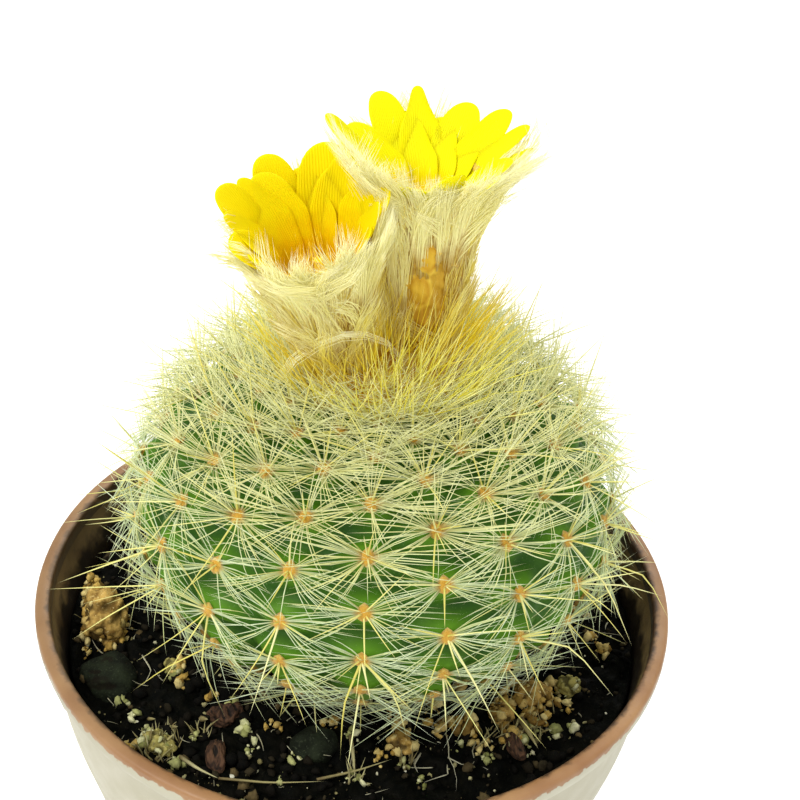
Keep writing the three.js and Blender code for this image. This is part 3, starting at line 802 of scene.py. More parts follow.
@dataclass(frozen=True)
class SpineFinish:
    """Spines or wool: a shade for each strand, another at its foot and its tip, and a painted glow."""

    name: str
    shades: Stops
    foot: str
    foot_reach: float
    tip: str
    young: str
    roughness: float = 0.42
    young_share: float = 0.6
    glow: float = 0.1

    def make(self) -> Material:
        """Returns the material."""
        dye = Dye(self.name, self.roughness, 0.35)
        along = dye.grain(Axis.Y)
        base = dye.ramp(dye.grain(Axis.X), *self.shades)
        base = dye.tint(base, self.young, dye.grain(Axis.Z), 0.0, 1.0, 0, self.young_share)
        base = dye.tint(base, self.tip, along, 0.7, 1.0, 0, 0.6)
        base = dye.tint(base, self.foot, along, self.foot_reach, 0.0)
        base = dye.tint(base, self.young, dye.noise(dye.place(), 0.8, 2), 0.3, 0.7, 0, 0.25)
        # Painted glow: each strand gives off a little of its own colour, standing in for light through it.
        return dye.done(base, Emission_Color=base, Emission_Strength=self.glow)


@dataclass(frozen=True)
class FeltFinish:
    """Short matted wool; its middle colour is the orange centre on an areole and painted shade in the crown's
    hollows.
    """

    name: str
    light: str
    dark: str
    middle: str

    def make(self) -> Material:
        """Returns the material."""
        dye = Dye(self.name, 0.9, 0.2)
        place = dye.place()
        base = dye.mix(dye.range(dye.noise(place, 0.5, 5), 0.35, 0.65), self.light, self.dark)
        # The grain lays the middle colour: the orange centre of an areole, and painted shade in the crown's
        # hollows.
        base = dye.tint(base, self.middle, dye.grain(Axis.X), 0.35, 0.9)
        dye.bump(dye.noise(place, 0.16, 4), 0.18, 1.0)
        return dye.done(base, Sheen_Weight=0.3)


@dataclass(frozen=True)
class TubeFinish:
    """A flower tube's skin under its wool: ochre low down, cream above, golden on bare scales, with a faint
    painted glow.
    """

    name: str

    def make(self) -> Material:
        """Returns the material."""
        dye = Dye(self.name, 0.75, 0.2)
        place = dye.place((1, 1, 0.3))
        base = dye.ramp(dye.grain(Axis.X), (0.0, "a07418"), (0.3, "c0922a"), (0.7, "d0a83a"), (1.0, "dabc48"))
        base = dye.tint(base, "b8952e", dye.noise(place, 1.6, 3), 0.5, 0.64, 0, 0.4)
        bare = dye.grain(Axis.Z)
        base = dye.tint(base, "e2c048", bare, 0.1, 0.3)
        base = dye.tint(base, "cc9c2c", bare, 0.3, 0.6)
        base = dye.tint(base, "e0b83c", bare, 0.65, 0.95, 0, 0.8)
        dye.bump(dye.noise(dye.place((1, 1, 0.15)), 0.35, 4), 0.15, 0.8)
        # Painted glow: a faint light of its own colour.
        return dye.done(base, Emission_Color=base, Emission_Strength=0.04)


@dataclass(frozen=True)
class PetalFinish:
    """Silky petal: lemon towards the tip, golden in the cup, partly painted shade there, with fine veins
    along it and a faint painted glow.
    """

    name: str
    tip: str
    middle: str
    cup: str

    def make(self) -> Material:
        """Returns the material."""
        dye = Dye(self.name, 0.6, 0.12)
        along, across = dye.grain(Axis.X), dye.grain(Axis.Y)
        stir = dye.ragged(along, dye.place(), 1.8, 3, 0.08)
        # Golden deeper in the cup: partly the petal's own colour, partly painted shade.
        base = dye.ramp(stir, (0.0, self.cup), (0.38, self.middle), (0.72, self.tip))
        stripes = dye.add("TexWave", Scale=1.0, Distortion=0.6, Detail=2.0)
        stripes.bands_direction = "X"
        veins = dye.add("CombineXYZ", X=dye.maths("MULTIPLY", across, 3.2), Y=along)
        dye.tree.links.new(veins.outputs[0], stripes.inputs["Vector"])
        lines = stripes.outputs["Fac"]
        base = dye.tint(base, "e2a400", lines, 0.0, 0.5, 0.14, 0)
        dye.bump(lines, 0.1, 0.6)
        # Painted glow: a faint light of its own colour.
        return dye.done(base, Emission_Color=base, Emission_Strength=0.04, Subsurface_Weight=0.3,
                        Subsurface_Radius=(0.8, 0.6, 0.02), Subsurface_Scale=1.2 * MM)


# The pot, the soil and what lies on it.

class PotPart(Enum):
    """Which of the pot's finishes a face has."""

    LIP = 0
    WALL = 1
    INSIDE = 2


@dataclass
class Pot:
    """The tapered plastic pot with its thick rolled lip and its drain holes."""

    height: float = 66.0
    lip_radius: float = 42.5
    lip_height: float = 3.0
    wall: float = 1.5
    base_thickness: float = 2.2
    lip_colour_from: float = 62.95
    lip_colour_from_inside: float = 64.2
    drains: int = 4
    drain_radius: float = 2.6
    drain_circle: float = 17.0
    outside: tuple[Pair, ...] = ((28.5, 0), (37.0, 40), (40.0, 52), (41.0, 63))

    def inner_radius(self, height: float) -> float:
        """Returns the inside radius at a height."""
        radii, heights = zip(*self.outside)
        return float(np.interp(height, heights, radii)) - self.wall

    def profile(self) -> list[Pair]:
        """Returns the pot's section, from the middle of its base round the lip and back."""
        top, under = self.height, self.height - self.lip_height
        lip = self.lip_radius
        corners = [(0, 0, 0), (27.0, 0, 0), (27.4, 0.5, 0.2), (27.8, 0, 0.2)]
        corners += [(28.5, 0, 0.5), (31.7, 15, 0), (34.9, 30, 0), (37.0, 40, 8), (40.0, 52, 6)]
        corners += [(40.95, under - 0.2, 0.3), (lip - 0.35, under, 0.35), (lip, under + 1.2, 0.8)]
        corners += [(lip - 0.05, top - 0.2, 1.0), (lip - 1.0, top, 0.8), (lip - 1.95, top - 0.2, 0.7)]
        corners += [(lip - 2.15, under, 0.8), (self.inner_radius(58), 58, 2), (38.5, 52, 2)]
        corners += [(35.5, 40, 2), (27.9, self.base_thickness, 1.5), (0, self.base_thickness, 0)]
        return rounded(corners, 6)

    def build(self) -> Piece:
        """Builds and dresses the pot.

        Returns:
            The pot.
        """
        piece = turned("pot_moulded", self.profile(), 160)
        for k in range(self.drains):
            turn = TAU * (k + 0.5) / self.drains
            at = (self.drain_circle * math.cos(turn) * MM, self.drain_circle * math.sin(turn) * MM, 0)
            deselect()
            bpy.ops.mesh.primitive_cylinder_add(
                vertices=32, radius=self.drain_radius * MM, depth=4 * self.base_thickness * MM, location=at)
            drill = made("drill")
            modify(piece, "BOOLEAN", object=drill, operation="DIFFERENCE", solver="EXACT")
            bpy.data.objects.remove(drill)
        points = vertices_of(piece)
        out = from_z(points)
        burr = np.exp(-((points[:, 2] - 63.1) / 0.35) ** 2) * (out > 41.5)
        swell = 0.10 * burr * waves(points, 1.6, seed=3)
        swell = swell + 0.05 * waves(points, 14, seed=5, octaves=1) * (out > 30)
        points[:, :2] *= (1 + swell / np.maximum(out, 1))[:, None]
        set_vertices(piece, points)
        shade(piece, 40)
        # Painted shade towards the left on the lip and the wall, and on the lip's inner edge.
        lip = PlasticFinish("terracotta_plastic", "ac845a", "946a45", "34241a", shade_line=57, left_shade=0.42,
                            inner_shade_edge=41.0, rim=65.0)
        wall = PlasticFinish("cream_plastic", "b2ad97", "aea992", "9c927a", shade_line=-20, left_shade=0.05)
        # The inside's colours are painted shade, darker still below the shade line towards the soil.
        inside = PlasticFinish("shaded_inside_plastic", "8c7650", "6a5638", "261d12", shade_line=61.2)
        dressed(piece, lip, wall, inside)
        for face in piece.data.polygons:
            face.material_index = self.part(face).value
        return piece

    def part(self, face: bpy.types.MeshPolygon) -> PotPart:
        """Tells which finish a face has.

        Args:
            face: the face.

        Returns:
            The part of the pot that it belongs to.
        """
        x, y, z = (c / MM for c in face.center)
        inward = face.normal.x * x + face.normal.y * y < 0
        if z > self.lip_colour_from and not (inward and z < self.lip_colour_from_inside):
            return PotPart.LIP
        if inward or (1 < z < 62 and math.hypot(x, y) < 27.5):
            return PotPart.INSIDE
        return PotPart.WALL


@dataclass(frozen=True)
class Bits:
    """One kind of loose crumbs: their sizes and shades, and how many there are or where they are heaped."""

    name: str
    slot: str
    seed: int
    sizes: Pair
    stops: Stops
    count: int = 0
    heaps: tuple[Heap, ...] = ()
    lift: float = 0.6
    fine: bool = False


@dataclass
class Soil:
    """The soil's body and its loose crumbs."""

    level: float = 58.0
    edge: float = 38.65
    mound: float = 2.0
    lump: float = 0.42
    sides: int = 360
    inner: float = 13.0
    outer: float = 38.0

    def surface(self, x: Array, y: Array) -> Array:
        """Returns the soil's height at places."""
        radius = np.hypot(x, y)
        lumps = (np.sin(0.62 * x + 1.3) * np.cos(0.55 * y - 0.4)
                 + 0.6 * np.sin(0.9 * x - 0.8 * y + 2.0) + 0.5 * np.cos(1.3 * y + 0.7 * x))
        mound = self.mound * (1 - smooth(radius, 16, 36))
        return self.level + mound + self.lump * lumps * smooth(radius, 12, 22)

    def lay(self, x: Array, y: Array, above: Array | float) -> Array:
        """Returns places at a height above the soil."""
        return np.stack([x, y, self.surface(x, y) + above], axis=-1)

    def build(self) -> Piece:
        """Builds and dresses the soil's body.

        Returns:
            The soil.
        """
        rings = np.linspace(self.edge, 9.0, 64)
        profile = [(0, 2.6), (27.0, 2.6), (35.1, 40), (38.1, 52), (self.edge - 0.1, 57.0)]
        profile += [(float(radius), self.level) for radius in rings]
        profile += [(7.0, 52.0), (0, 51.0)]
        piece = turned("soil_bed", profile, self.sides)
        points = vertices_of(piece)
        on_top = np.abs(points[:, 2] - self.level) < 0.01
        x, y = points[on_top, 0], points[on_top, 1]
        flat = np.stack([x, y, 0 * x], axis=1)
        rough = 0.55 * waves(flat, 1.5, seed=11, octaves=4)
        rough += 0.3 * np.maximum(waves(flat, 0.7, seed=12, octaves=2), 0)
        points[on_top, 2] = self.surface(x, y) + rough * smooth(np.hypot(x, y), 40.5, 37.5)
        set_vertices(piece, points)
        shade(piece)
        return dressed(piece, EarthFinish("damp_soil", "050604", "100f0a", "7d6f4c"))

    def scattered(self, random: Chance, count: int) -> tuple[Array, Array]:
        """Draws places on the soil between the plant and the pot.

        Args:
            random: the source of chance.
            count: how many.

        Returns:
            Their x and y.
        """
        turn = random.uniform(0, TAU, count)
        radius = np.sqrt(random.uniform(self.inner ** 2, self.outer ** 2, count))
        return radius * np.cos(turn), radius * np.sin(turn)

    def heaped(self, random: Chance, heaps: tuple[Heap, ...]) -> tuple[Array, Array, Array]:
        """Draws places in small heaps, which are higher in their middle.

        Args:
            random: the source of chance.
            heaps: each heap's x, y, spread, height and count.

        Returns:
            Their x and y, and how high they stand above the soil.
        """
        table = np.array(heaps)
        x, y, spread, height, _ = np.repeat(table, table[:, -1].astype(int), axis=0).T
        turn = random.uniform(0, TAU, len(x))
        share = np.sqrt(random.random(len(x))) * 1.05
        x, y = x + spread * share * np.cos(turn), y + spread * share * np.sin(turn)
        rise = height * np.sqrt(np.maximum(0, 1 - share * share)) * random.uniform(0.6, 1.0, len(x))
        shrink = np.minimum(1, 37.6 / np.hypot(x, y))
        return x * shrink, y * shrink, rise

    def crumbs(self, bits: Bits) -> Piece:
        """Lays one kind of lumpy crumbs on the soil and dresses them.

        Args:
            bits: what they are.

        Returns:
            The crumbs.
        """
        throw = dice(bits.seed)
        if bits.heaps:
            x, y, rise = self.heaped(throw, bits.heaps)
        else:
            x, y = self.scattered(throw, bits.count)
            rise = 0.0
        random, count = dice(bits.seed), len(x)
        ball = Shape.ball(1) if bits.fine else Shape.lump()
        size = lerp(*bits.sizes, random.power(0.5, count))[:, None, None]
        squash = random.uniform(0.5, 1.2, (count, 1, 3))
        axis = unit(random.normal(size=(count, 4)))
        turns = np.array([np.array(Quaternion(a).to_matrix()) for a in axis])
        body = np.repeat(ball.points[None], count, axis=0)
        for swing in (2.3, 4.1):
            heading = unit(random.normal(size=(count, 3, 1)))
            phase = random.uniform(0, 6, (count, 1, 1))
            body = body * (1 + 0.17 * np.sin(swing * body @ heading + phase))
        body = np.einsum("nij,nvj->nvi", turns, body * squash * size)
        z = self.surface(x, y) + rise + bits.lift * size[:, 0, 0] * random.uniform(0.4, 1.8, count)
        places = body + np.stack([x, y, z], axis=1)[:, None]
        grain = np.broadcast_to(random.random(count)[:, None, None], body.shape)
        piece = repeated(bits.name, ball, places, grain)
        shade(piece)
        return dressed(piece, CrumbFinish(bits.name, bits.stops))

    def roots(self) -> Piece:
        """Builds and dresses the white roots and fibres.

        Returns:
            The roots.
        """
        random = dice(ROOT_SEED)
        strands = Strands(Shape.needle(4, tuple(np.linspace(0.08, 0.92, 11))))
        for way in ROOT_WAYS:
            points = tuple(tuple(self.lay(x, y, 0.55)) for x, y in way)
            strands.bundle(points, 2, spread=0.07, width=0.09, random=random)
        x, y = self.scattered(random, 190)
        start = self.lay(x, y, 0.35)
        turn = random.uniform(0, TAU, len(x))
        reach = polar(turn, 1.0, random.uniform(-0.1, 0.3, len(x))) * random.uniform(0.8, 3.2, (len(x), 1))
        tip = start[:, :2] + reach[:, :2]
        inside = from_z(tip) < 37.8
        count = inside.sum()
        strands.arch(start[inside], reach[inside], random.normal(0, 0.5, (count, 3)) * [1, 1, 0.2],
                     random.uniform(0.04, 0.12, count), random.random(count), 0.5)
        return dressed(strands.piece("white_roots"), SpineFinish(
            "white_root", ((0.0, "c8c4a4"), (0.5, "938b62"), (1.0, "5f5636")), foot="8f8a70",
            foot_reach=0.1, tip="dcdac8", young="c6c4b0", roughness=0.7, young_share=0.4, glow=0.0))

    def straws(self) -> Piece:
        """Builds and dresses the dry stalks that lie across the soil.

        Returns:
            The stalks.
        """
        random = dice(STRAW_SEED)
        strands = Strands(Shape.needle(6, tuple(np.linspace(0.05, 0.95, 13))))
        for way, width in STALK_WAYS:
            strands.bundle(way, 1, spread=0.02, width=0.75 * width, random=random)
        for x, y, spread, count in STUBBLE:
            turn, far = random.uniform(0, TAU, count), spread * np.sqrt(random.random(count))
            foot = self.lay(x + far * np.cos(turn), y + far * np.sin(turn), 0.0)
            reach = np.column_stack([random.normal(0, 0.7, (count, 2)), random.uniform(1.0, 2.8, count)])
            strands.arch(foot, reach, random.normal(0, 0.25, (count, 3)), random.uniform(0.07, 0.17, count),
                         random.random(count), random.random(count))
        return dressed(strands.piece("dry_stalks"), SpineFinish(
            "dry_stalk", ((0.0, "c8c294"), (0.6, "a39863"), (1.0, "6f5a36")), foot="5a4628",
            foot_reach=0.45, tip="cfcb9c", young="a8a06c", roughness=0.75, young_share=0.4, glow=0.0))


class Stuff(Enum):
    """What a loose piece on the soil is."""

    CLUMP = "clump"
    MOSS = "moss"
    STONE = "stone"
    BARK = "bark"


@dataclass
class LoosePiece:
    """A stone, clump or chip that lies half sunk in the soil, in place of its CAD node."""

    seed: int
    node: str
    stuff: Stuff
    at: Pair
    size: Point
    turn: float
    lobe: float = 0.8

    def build(self, soil: Soil) -> Piece:
        """Builds the piece, which gets its finish later.

        Args:
            soil: the soil that carries it.

        Returns:
            The piece.
        """
        piece = self.lobed() if self.stuff in (Stuff.CLUMP, Stuff.MOSS) else self.worn()
        named(piece, self.node + "_fine")
        points = vertices_of(piece)
        turn = np.array(Matrix.Rotation(self.turn, 3, "Z"))
        set_vertices(piece, points @ turn.T + soil.lay(*self.at, 0.36 * self.size[2]))
        shade(piece, 50 if self.stuff is Stuff.BARK else 180)
        return piece

    def lobed(self) -> Piece:
        """Fuses many small lobes round a core into a granular clump.

        Returns:
            The piece, about the origin.
        """
        random = dice(self.seed)
        size = np.array(self.size)
        ball = Shape.ball(2)
        area = (size[0] * size[1] + size[1] * size[2] + size[0] * size[2]) / 3
        count = int(9 * area / self.lobe ** 2) + 12
        where = unit(random.normal(size=(count, 3)))
        middle = where * (size - 0.5 * self.lobe) * random.uniform(0.72, 1.0, (count, 1))
        radius = self.lobe * random.uniform(0.45, 0.8, (count, 1, 1))
        places = np.concatenate([middle[:, None] + ball.points[None] * radius,
                                 (ball.points * (size - 0.7 * self.lobe))[None]])
        piece = repeated("clump", ball, places)
        modify(piece, "REMESH", mode="VOXEL", voxel_size=max(0.16, 0.055 * size.max()) * MM)
        modify(piece, "SMOOTH", factor=0.5, iterations=2)
        points = vertices_of(piece)
        depth = np.linalg.norm(points / size, axis=1)
        points *= (1 + 0.05 * waves(points, 0.8, seed=31) / np.maximum(depth, 0.5))[:, None]
        set_vertices(piece, points)
        # Marks the hollows between the lobes, which the finish darkens as painted shade.
        set_shade(piece, smooth(depth, 0.72, 1.02))
        return piece

    def worn(self) -> Piece:
        """Shapes a stone or a chip of bark from a ball by waves and flat breaks.

        Returns:
            The piece, about the origin.
        """
        deselect()
        bpy.ops.mesh.primitive_ico_sphere_add(subdivisions=5, radius=MM)
        piece = made("worn")
        points = vertices_of(piece)
        random = dice(self.seed)
        for _ in range(9 if self.stuff is Stuff.BARK else 6):
            normal = unit(random.normal(size=3))
            over = np.maximum(points @ normal - random.uniform(0.66, 0.88), 0)
            points -= 0.92 * over[:, None] * normal
        size = np.array(self.size)
        points = points * size * 1.1
        if self.stuff is Stuff.BARK:
            swell = 0.16 * waves(points * [1, 0.3, 1], 0.5, self.seed)
        else:
            swell = 0.16 * waves(points, 2.2, self.seed)
            swell += 0.04 * waves(points, 0.5, self.seed + 1, octaves=2)
        points += unit(points) * swell[:, None]
        set_vertices(piece, points)
        # Marks the dents, which the finish darkens as painted shade.
        set_shade(piece, smooth(swell, -0.16, 0.06))
        return piece


# The plant.

@dataclass
class Habit:
    """The globe's form: its skin, and the spiral lattice on which its areoles sit."""

    centre_x: float = 2.0
    equator: float = 80.7
    radius: float = 30.7
    rise: float = 19.9
    fall: float = 22.5
    ribs: int = 20
    turn: int = 9
    first_rib: float = math.radians(0.1)
    lowest: float = -66.8
    highest: float = 70.0
    row_pitch: float = 6.12
    crown_pitch: float = 3.6
    valley: float = 2.2
    step: float = 0.02
    latitudes: Array = field(init=False)

    def __post_init__(self) -> None:
        """Fills the table from row to latitude."""
        table = [math.radians(self.lowest)]
        while table[-1] < math.radians(89):
            latitude = table[-1]
            tall = self.rise if latitude > 0 else self.fall
            stretch = math.hypot(self.radius * math.sin(latitude), tall * math.cos(latitude))
            crowding = float(smooth(self.radius * math.cos(latitude), 8, 20))
            pitch = lerp(self.crown_pitch, self.row_pitch, crowding)
            table.append(latitude + self.step * pitch / stretch)
        self.latitudes = np.array(table)

    def latitude(self, row: Array) -> Array:
        """Returns the latitude of a full row number."""
        return np.interp(np.asarray(row) / self.step, np.arange(len(self.latitudes)), self.latitudes)

    def row(self, latitude: Array) -> Array:
        """Returns the full row number of a latitude."""
        inside = np.interp(latitude, self.latitudes, self.step * np.arange(len(self.latitudes)))
        return inside + np.minimum(latitude - self.latitudes[0], 0) * 4.2

    def skin(self, latitude: Array, turn: Array, lift: Array | float = 0.0) -> Array:
        """Gives points of the globe's skin.

        Args:
            latitude: the angle above the equator.
            turn: the angle round from the front.
            lift: how far the point stands off the skin.

        Returns:
            The points, one a row.
        """
        tall = np.where(latitude > 0, self.rise, self.fall)
        normal = unit(np.stack([np.cos(latitude) / self.radius, np.sin(latitude) / tall], axis=-1))
        out = self.radius * np.cos(latitude) + lift * normal[..., 0]
        height = self.equator + tall * np.sin(latitude) + lift * normal[..., 1]
        return np.stack([self.centre_x + out * np.sin(turn), -out * np.cos(turn), height], axis=-1)

    def lattice(self, rib: Array, row: Array, lift: Array | float = 0.0) -> Array:
        """Returns points at lattice places, which may lie between the areoles."""
        full = row + rib * self.turn / self.ribs
        return self.skin(self.latitude(full), TAU * rib / self.ribs + self.first_rib, lift)

    def mound(self, latitude: Array, turn: Array) -> Array:
        """Returns how near a place is to an areole: 1 on it, and 0 in the deepest valley."""
        rib = (turn - self.first_rib) * self.ribs / TAU
        row = self.row(latitude) - rib * self.turn / self.ribs
        total = np.cos(TAU * rib) + np.cos(TAU * row) + np.cos(TAU * (rib + row))
        return (total / 3 + 0.5) / 1.5


@dataclass
class Areoles:
    """Every areole's place, its directions and its size."""

    centre: Array
    out: Array
    up: Array
    side: Array
    size: Array
    from_axis: Array
    low: Array
    high: Array

    @staticmethod
    def of(habit: Habit, soil: Soil) -> "Areoles":
        """Finds the areoles that stand above the soil.

        Args:
            habit: the globe's form.
            soil: the soil.

        Returns:
            The areoles.
        """
        last = float(habit.row(np.array(math.radians(habit.highest))))
        rib, row = np.meshgrid(np.arange(habit.ribs), np.arange(-habit.turn, 20), indexing="ij")
        rib, row = rib.ravel().astype(float), row.ravel().astype(float)
        full = row + rib * habit.turn / habit.ribs
        kept = (full >= 0.4) & (full <= last + 1.6)
        rib, row, full = rib[kept], row[kept], full[kept]
        centre = habit.lattice(rib, row)
        out = unit(habit.lattice(rib, row, 1.0) - centre)
        up = habit.lattice(rib, row + 0.05) - centre
        up = unit(up - out * dot(up, out))
        side = np.cross(up, out)
        from_axis = habit.radius * np.cos(habit.latitude(full))
        size = np.minimum(1, smooth(from_axis, 2, 24) * 0.6 + 0.45)
        low, high = smooth(centre[:, 2], 77.5, 71.5), smooth(centre[:, 2], 87.0, 94.0)
        above = centre[:, 2] > soil.surface(centre[:, 0], centre[:, 1]) + 1.2
        return Areoles(*(values[above] for values in (centre, out, up, side, size, from_axis, low, high)))

    def heading(self, angle: Array, tilt: Array) -> Array:
        """Returns directions at an angle round each areole and a tilt above its skin."""
        flat = self.side[:, None] * np.cos(angle)[..., None] + self.up[:, None] * np.sin(angle)[..., None]
        return flat * np.cos(tilt)[..., None] + self.out[:, None] * np.sin(tilt)[..., None]


@dataclass
class CactusBody:
    """The ribbed green globe with its areoles and spines."""

    habit: Habit
    soil: Soil
    pot: Pot
    flowers: list["Flower"]
    areoles: Areoles
    reach: float = 44.8
    wall_from: float = 38.2
    lip_from: float = 42.0
    radials: int = 56
    centrals: int = 5

    def skin(self) -> Piece:
        """Builds and dresses the green skin.

        Returns:
            The skin.
        """
        deselect()
        bpy.ops.mesh.primitive_uv_sphere_add(segments=240, ring_count=120, radius=MM)
        piece = made("cactus_skin")
        ball = unit(vertices_of(piece))
        latitude = np.arcsin(np.clip(ball[:, 2], -1, 1))
        turn = np.arctan2(ball[:, 0], -ball[:, 1])
        near = self.habit.mound(latitude, turn)
        fade = smooth(np.degrees(latitude), 76, 66) * smooth(np.degrees(latitude), -80, -66)
        deep = self.habit.valley * (near ** 0.85 - 1) * fade
        points = self.habit.skin(latitude, turn, deep)
        points[:, 2] -= 0.8 * smooth(np.degrees(latitude), 68, 78)
        set_vertices(piece, points)
        # Marks the valleys, which the finish darkens as painted shade.
        set_shade(piece, near)
        shade(piece)
        return dressed(piece, SkinFinish())

    def cushions(self) -> Piece:
        """Builds and dresses the felt cushions that the spines grow from.

        Returns:
            The cushions.
        """
        ball, areoles = Shape.bead(), self.areoles
        lumps = ball.points * (1 + 0.12 * waves(ball.points, 0.5, seed=4, octaves=2))[:, None]
        size = areoles.size[:, None, None]
        places = (areoles.centre[:, None] + 0.92 * size * (
            lumps[None, :, :1] * areoles.side[:, None] + 1.2 * lumps[None, :, 1:2] * areoles.up[:, None])
            + 0.42 * size * lumps[None, :, 2:] * areoles.out[:, None])
        grain = np.broadcast_to(lumps[None, :, 2:], places.shape)
        piece = repeated("areole_felt", ball, places, grain)
        shade(piece)
        return dressed(piece, FeltFinish("areole_felt", "e6c464", "c4943a", "d4a23a"))

    def clear(self, start: Array, reach: Array, bend: Array) -> tuple[Array, Array]:
        """Shortens strands until they pass clear of the soil, the pot and the flowers.

        Args:
            start: their feet.
            reach: their directions times their lengths.
            bend: their bends.

        Returns:
            How much of each strand is kept, from 0 to 1, and whether it is kept.
        """
        scale, tries, shrink, shortest = np.ones(len(start)), 9, 0.84, 0.36
        for _ in range(tries):
            bad = np.zeros(len(start), bool)
            for along in (0.3, 0.5, 0.7, 0.85, 1.0):
                spot = start + (reach * along + bend * along ** 2) * scale[:, None]
                out = from_z(spot)
                bad |= (out < self.lip_from) & (spot[:, 2] < self.soil.surface(spot[:, 0], spot[:, 1]) + 0.25)
                bad |= (out > self.wall_from) & (spot[:, 2] < self.pot.height + 0.3)
                bad |= out > self.reach
                for flower in self.flowers:
                    bad |= flower.inside(spot, 0.35)
            scale[bad] *= shrink
        return scale, scale > shortest

    def grow(self, strands: Strands, random: Chance, spines: tuple[Array, Array, Array], grown: Array,
             widths: Pair, place: Array) -> None:
        """Adds the spines that have grown, cut short where they would touch something else.

        Args:
            strands: what they join.
            random: the source of chance.
            spines: their feet, reaches and bends.
            grown: which of them have grown.
            widths: the range of their radii.
            place: where each areole is, from 0 to 1.
        """
        start, reach, bend = (values.reshape(-1, 3) for values in spines)
        scale, kept = self.clear(start, reach, bend)
        kept &= grown.ravel()
        place = np.broadcast_to(place, grown.shape).ravel()
        strands.arch(start[kept], (reach * scale[:, None])[kept], (bend * scale[:, None])[kept],
                     random.uniform(*widths, kept.sum()), random.random(kept.sum()), place[kept])

    def radial_spines(self) -> Piece:
        """Builds and dresses the pale radiating spines.

        Returns:
            The spines.
        """
        areoles, count = self.areoles, self.radials
        random = dice(RADIAL_SEED)
        many = (len(areoles.centre), count)
        low, high = areoles.low[:, None], areoles.high[:, None]
        share = (np.arange(count)[None] // 2 + random.uniform(0.0, 1.0, many)) * 4 / count - 1
        fan = np.radians(46) * share
        angle = np.where(np.arange(count) % 2 == 0, fan, math.pi - fan)
        astray = random.random(many) < 0.1 + 0.45 * high
        angle = np.where(astray, random.uniform(0, TAU, many), angle)
        inner = random.random(many) < 0.3
        tilt = np.where(inner, random.uniform(16, 34, many), random.uniform(4, 16, many))
        tilt = np.radians(tilt + high * random.uniform(4, 34, many))
        length = random.uniform(7.4, 11.4, many) * lerp(0.6, 1.0, np.cos(angle) ** 2)
        length *= 1 + 0.3 * high
        length *= np.sqrt(areoles.size)[:, None]
        grown = random.random(many) < lerp(0.62, 1.0, high) * (1 - 0.66 * low)
        heading = areoles.heading(angle, tilt)
        foot = areoles.heading(angle, np.full(angle.shape, 0.15)) * 0.62 * areoles.size[:, None, None]
        start = areoles.centre[:, None] + foot + 0.05 * areoles.out[:, None]
        aside = np.cross(heading, areoles.out[:, None])
        level = 0.22 * np.sin(2 * angle) + random.normal(0, 0.055, many)
        bend = (areoles.out[:, None] * random.uniform(-0.15, 0.0, (*many, 1))
                + aside * level[..., None]) * length[..., None]
        strands = Strands(Shape.needle(3, (0.35, 0.7)))
        self.grow(strands, random, (start, heading * length[..., None], bend), grown, (0.066, 0.1), high)
        return dressed(strands.piece("radial_spines"), SpineFinish(
            "pale_spine", ((0.0, "e0eecf"), (0.6, "d4e4b0"), (1.0, "dedc88")), foot="d8ac4c",
            foot_reach=0.09, tip="f0f4d2", young="f0ecaa", glow=0.06))

    def central_spines(self) -> Piece:
        """Builds and dresses the long yellow spines.

        Returns:
            The spines.
        """
        areoles, count = self.areoles, self.centrals
        random = dice(CENTRAL_SEED)
        many = (len(areoles.centre), count)
        young = 1 - smooth(areoles.from_axis, 11, 25)[:, None]
        angle = TAU * (np.arange(count)[None] + random.uniform(-0.5, 0.5, many)) / count
        angle += 0.2 * np.sin(2 * angle)
        lean = random.uniform(14, 72, many) * (1 - 0.35 * young)
        length = random.uniform(5.5, 11.0, many) * np.sqrt(areoles.size)[:, None]
        length *= 1 + 0.25 * areoles.high[:, None]
        length *= np.where(random.random(many) < 0.35 * (1 - young), 0.45, 1.0)
        grown = random.random(many) < 1 - 0.85 * areoles.low[:, None]
        heading = areoles.heading(angle, np.radians(90 - lean))
        start = areoles.centre[:, None] + 0.3 * heading * areoles.size[:, None, None]
        aside = np.cross(heading, areoles.out[:, None])
        bend = (np.array([0, 0, -1.0]) * random.uniform(-0.02, 0.08, (*many, 1))
                + aside * random.normal(0, 0.07, (*many, 1))) * length[..., None]
        strands = Strands(Shape.needle(4, (0.1, 0.28, 0.46, 0.64, 0.82), bulb=1.3))
        self.grow(strands, random, (start, heading * length[..., None], bend), grown, (0.09, 0.135), young)
        for way in LONG_SPINES:
            strands.bundle(way, 1, spread=0.0, width=0.15, random=random, place=0.2)
        return dressed(strands.piece("central_spines"), SpineFinish(
            "yellow_spine", ((0.0, "ecebb2"), (0.5, "e4e08c"), (1.0, "d8cc62")), foot="cf9c3c",
            foot_reach=0.07, tip="eeebb4", young="e4dc78"))


@dataclass(frozen=True)
class Petal:
    """One petal: where it stands round the mouth, and its tip's place and width."""

    turn: float
    flare: float
    above: float
    half_width: float
    point: float = 0.0
    inner: bool = False


@dataclass(frozen=True)
class Layer:
    """A layer of wool: how many locks are tried, and the ranges that they are drawn from."""

    tried: int
    start: Pair
    reach: Pair
    cap: float
    lift: Pair
    sway: float
    spread: float
    hairs: int
    light: Pair


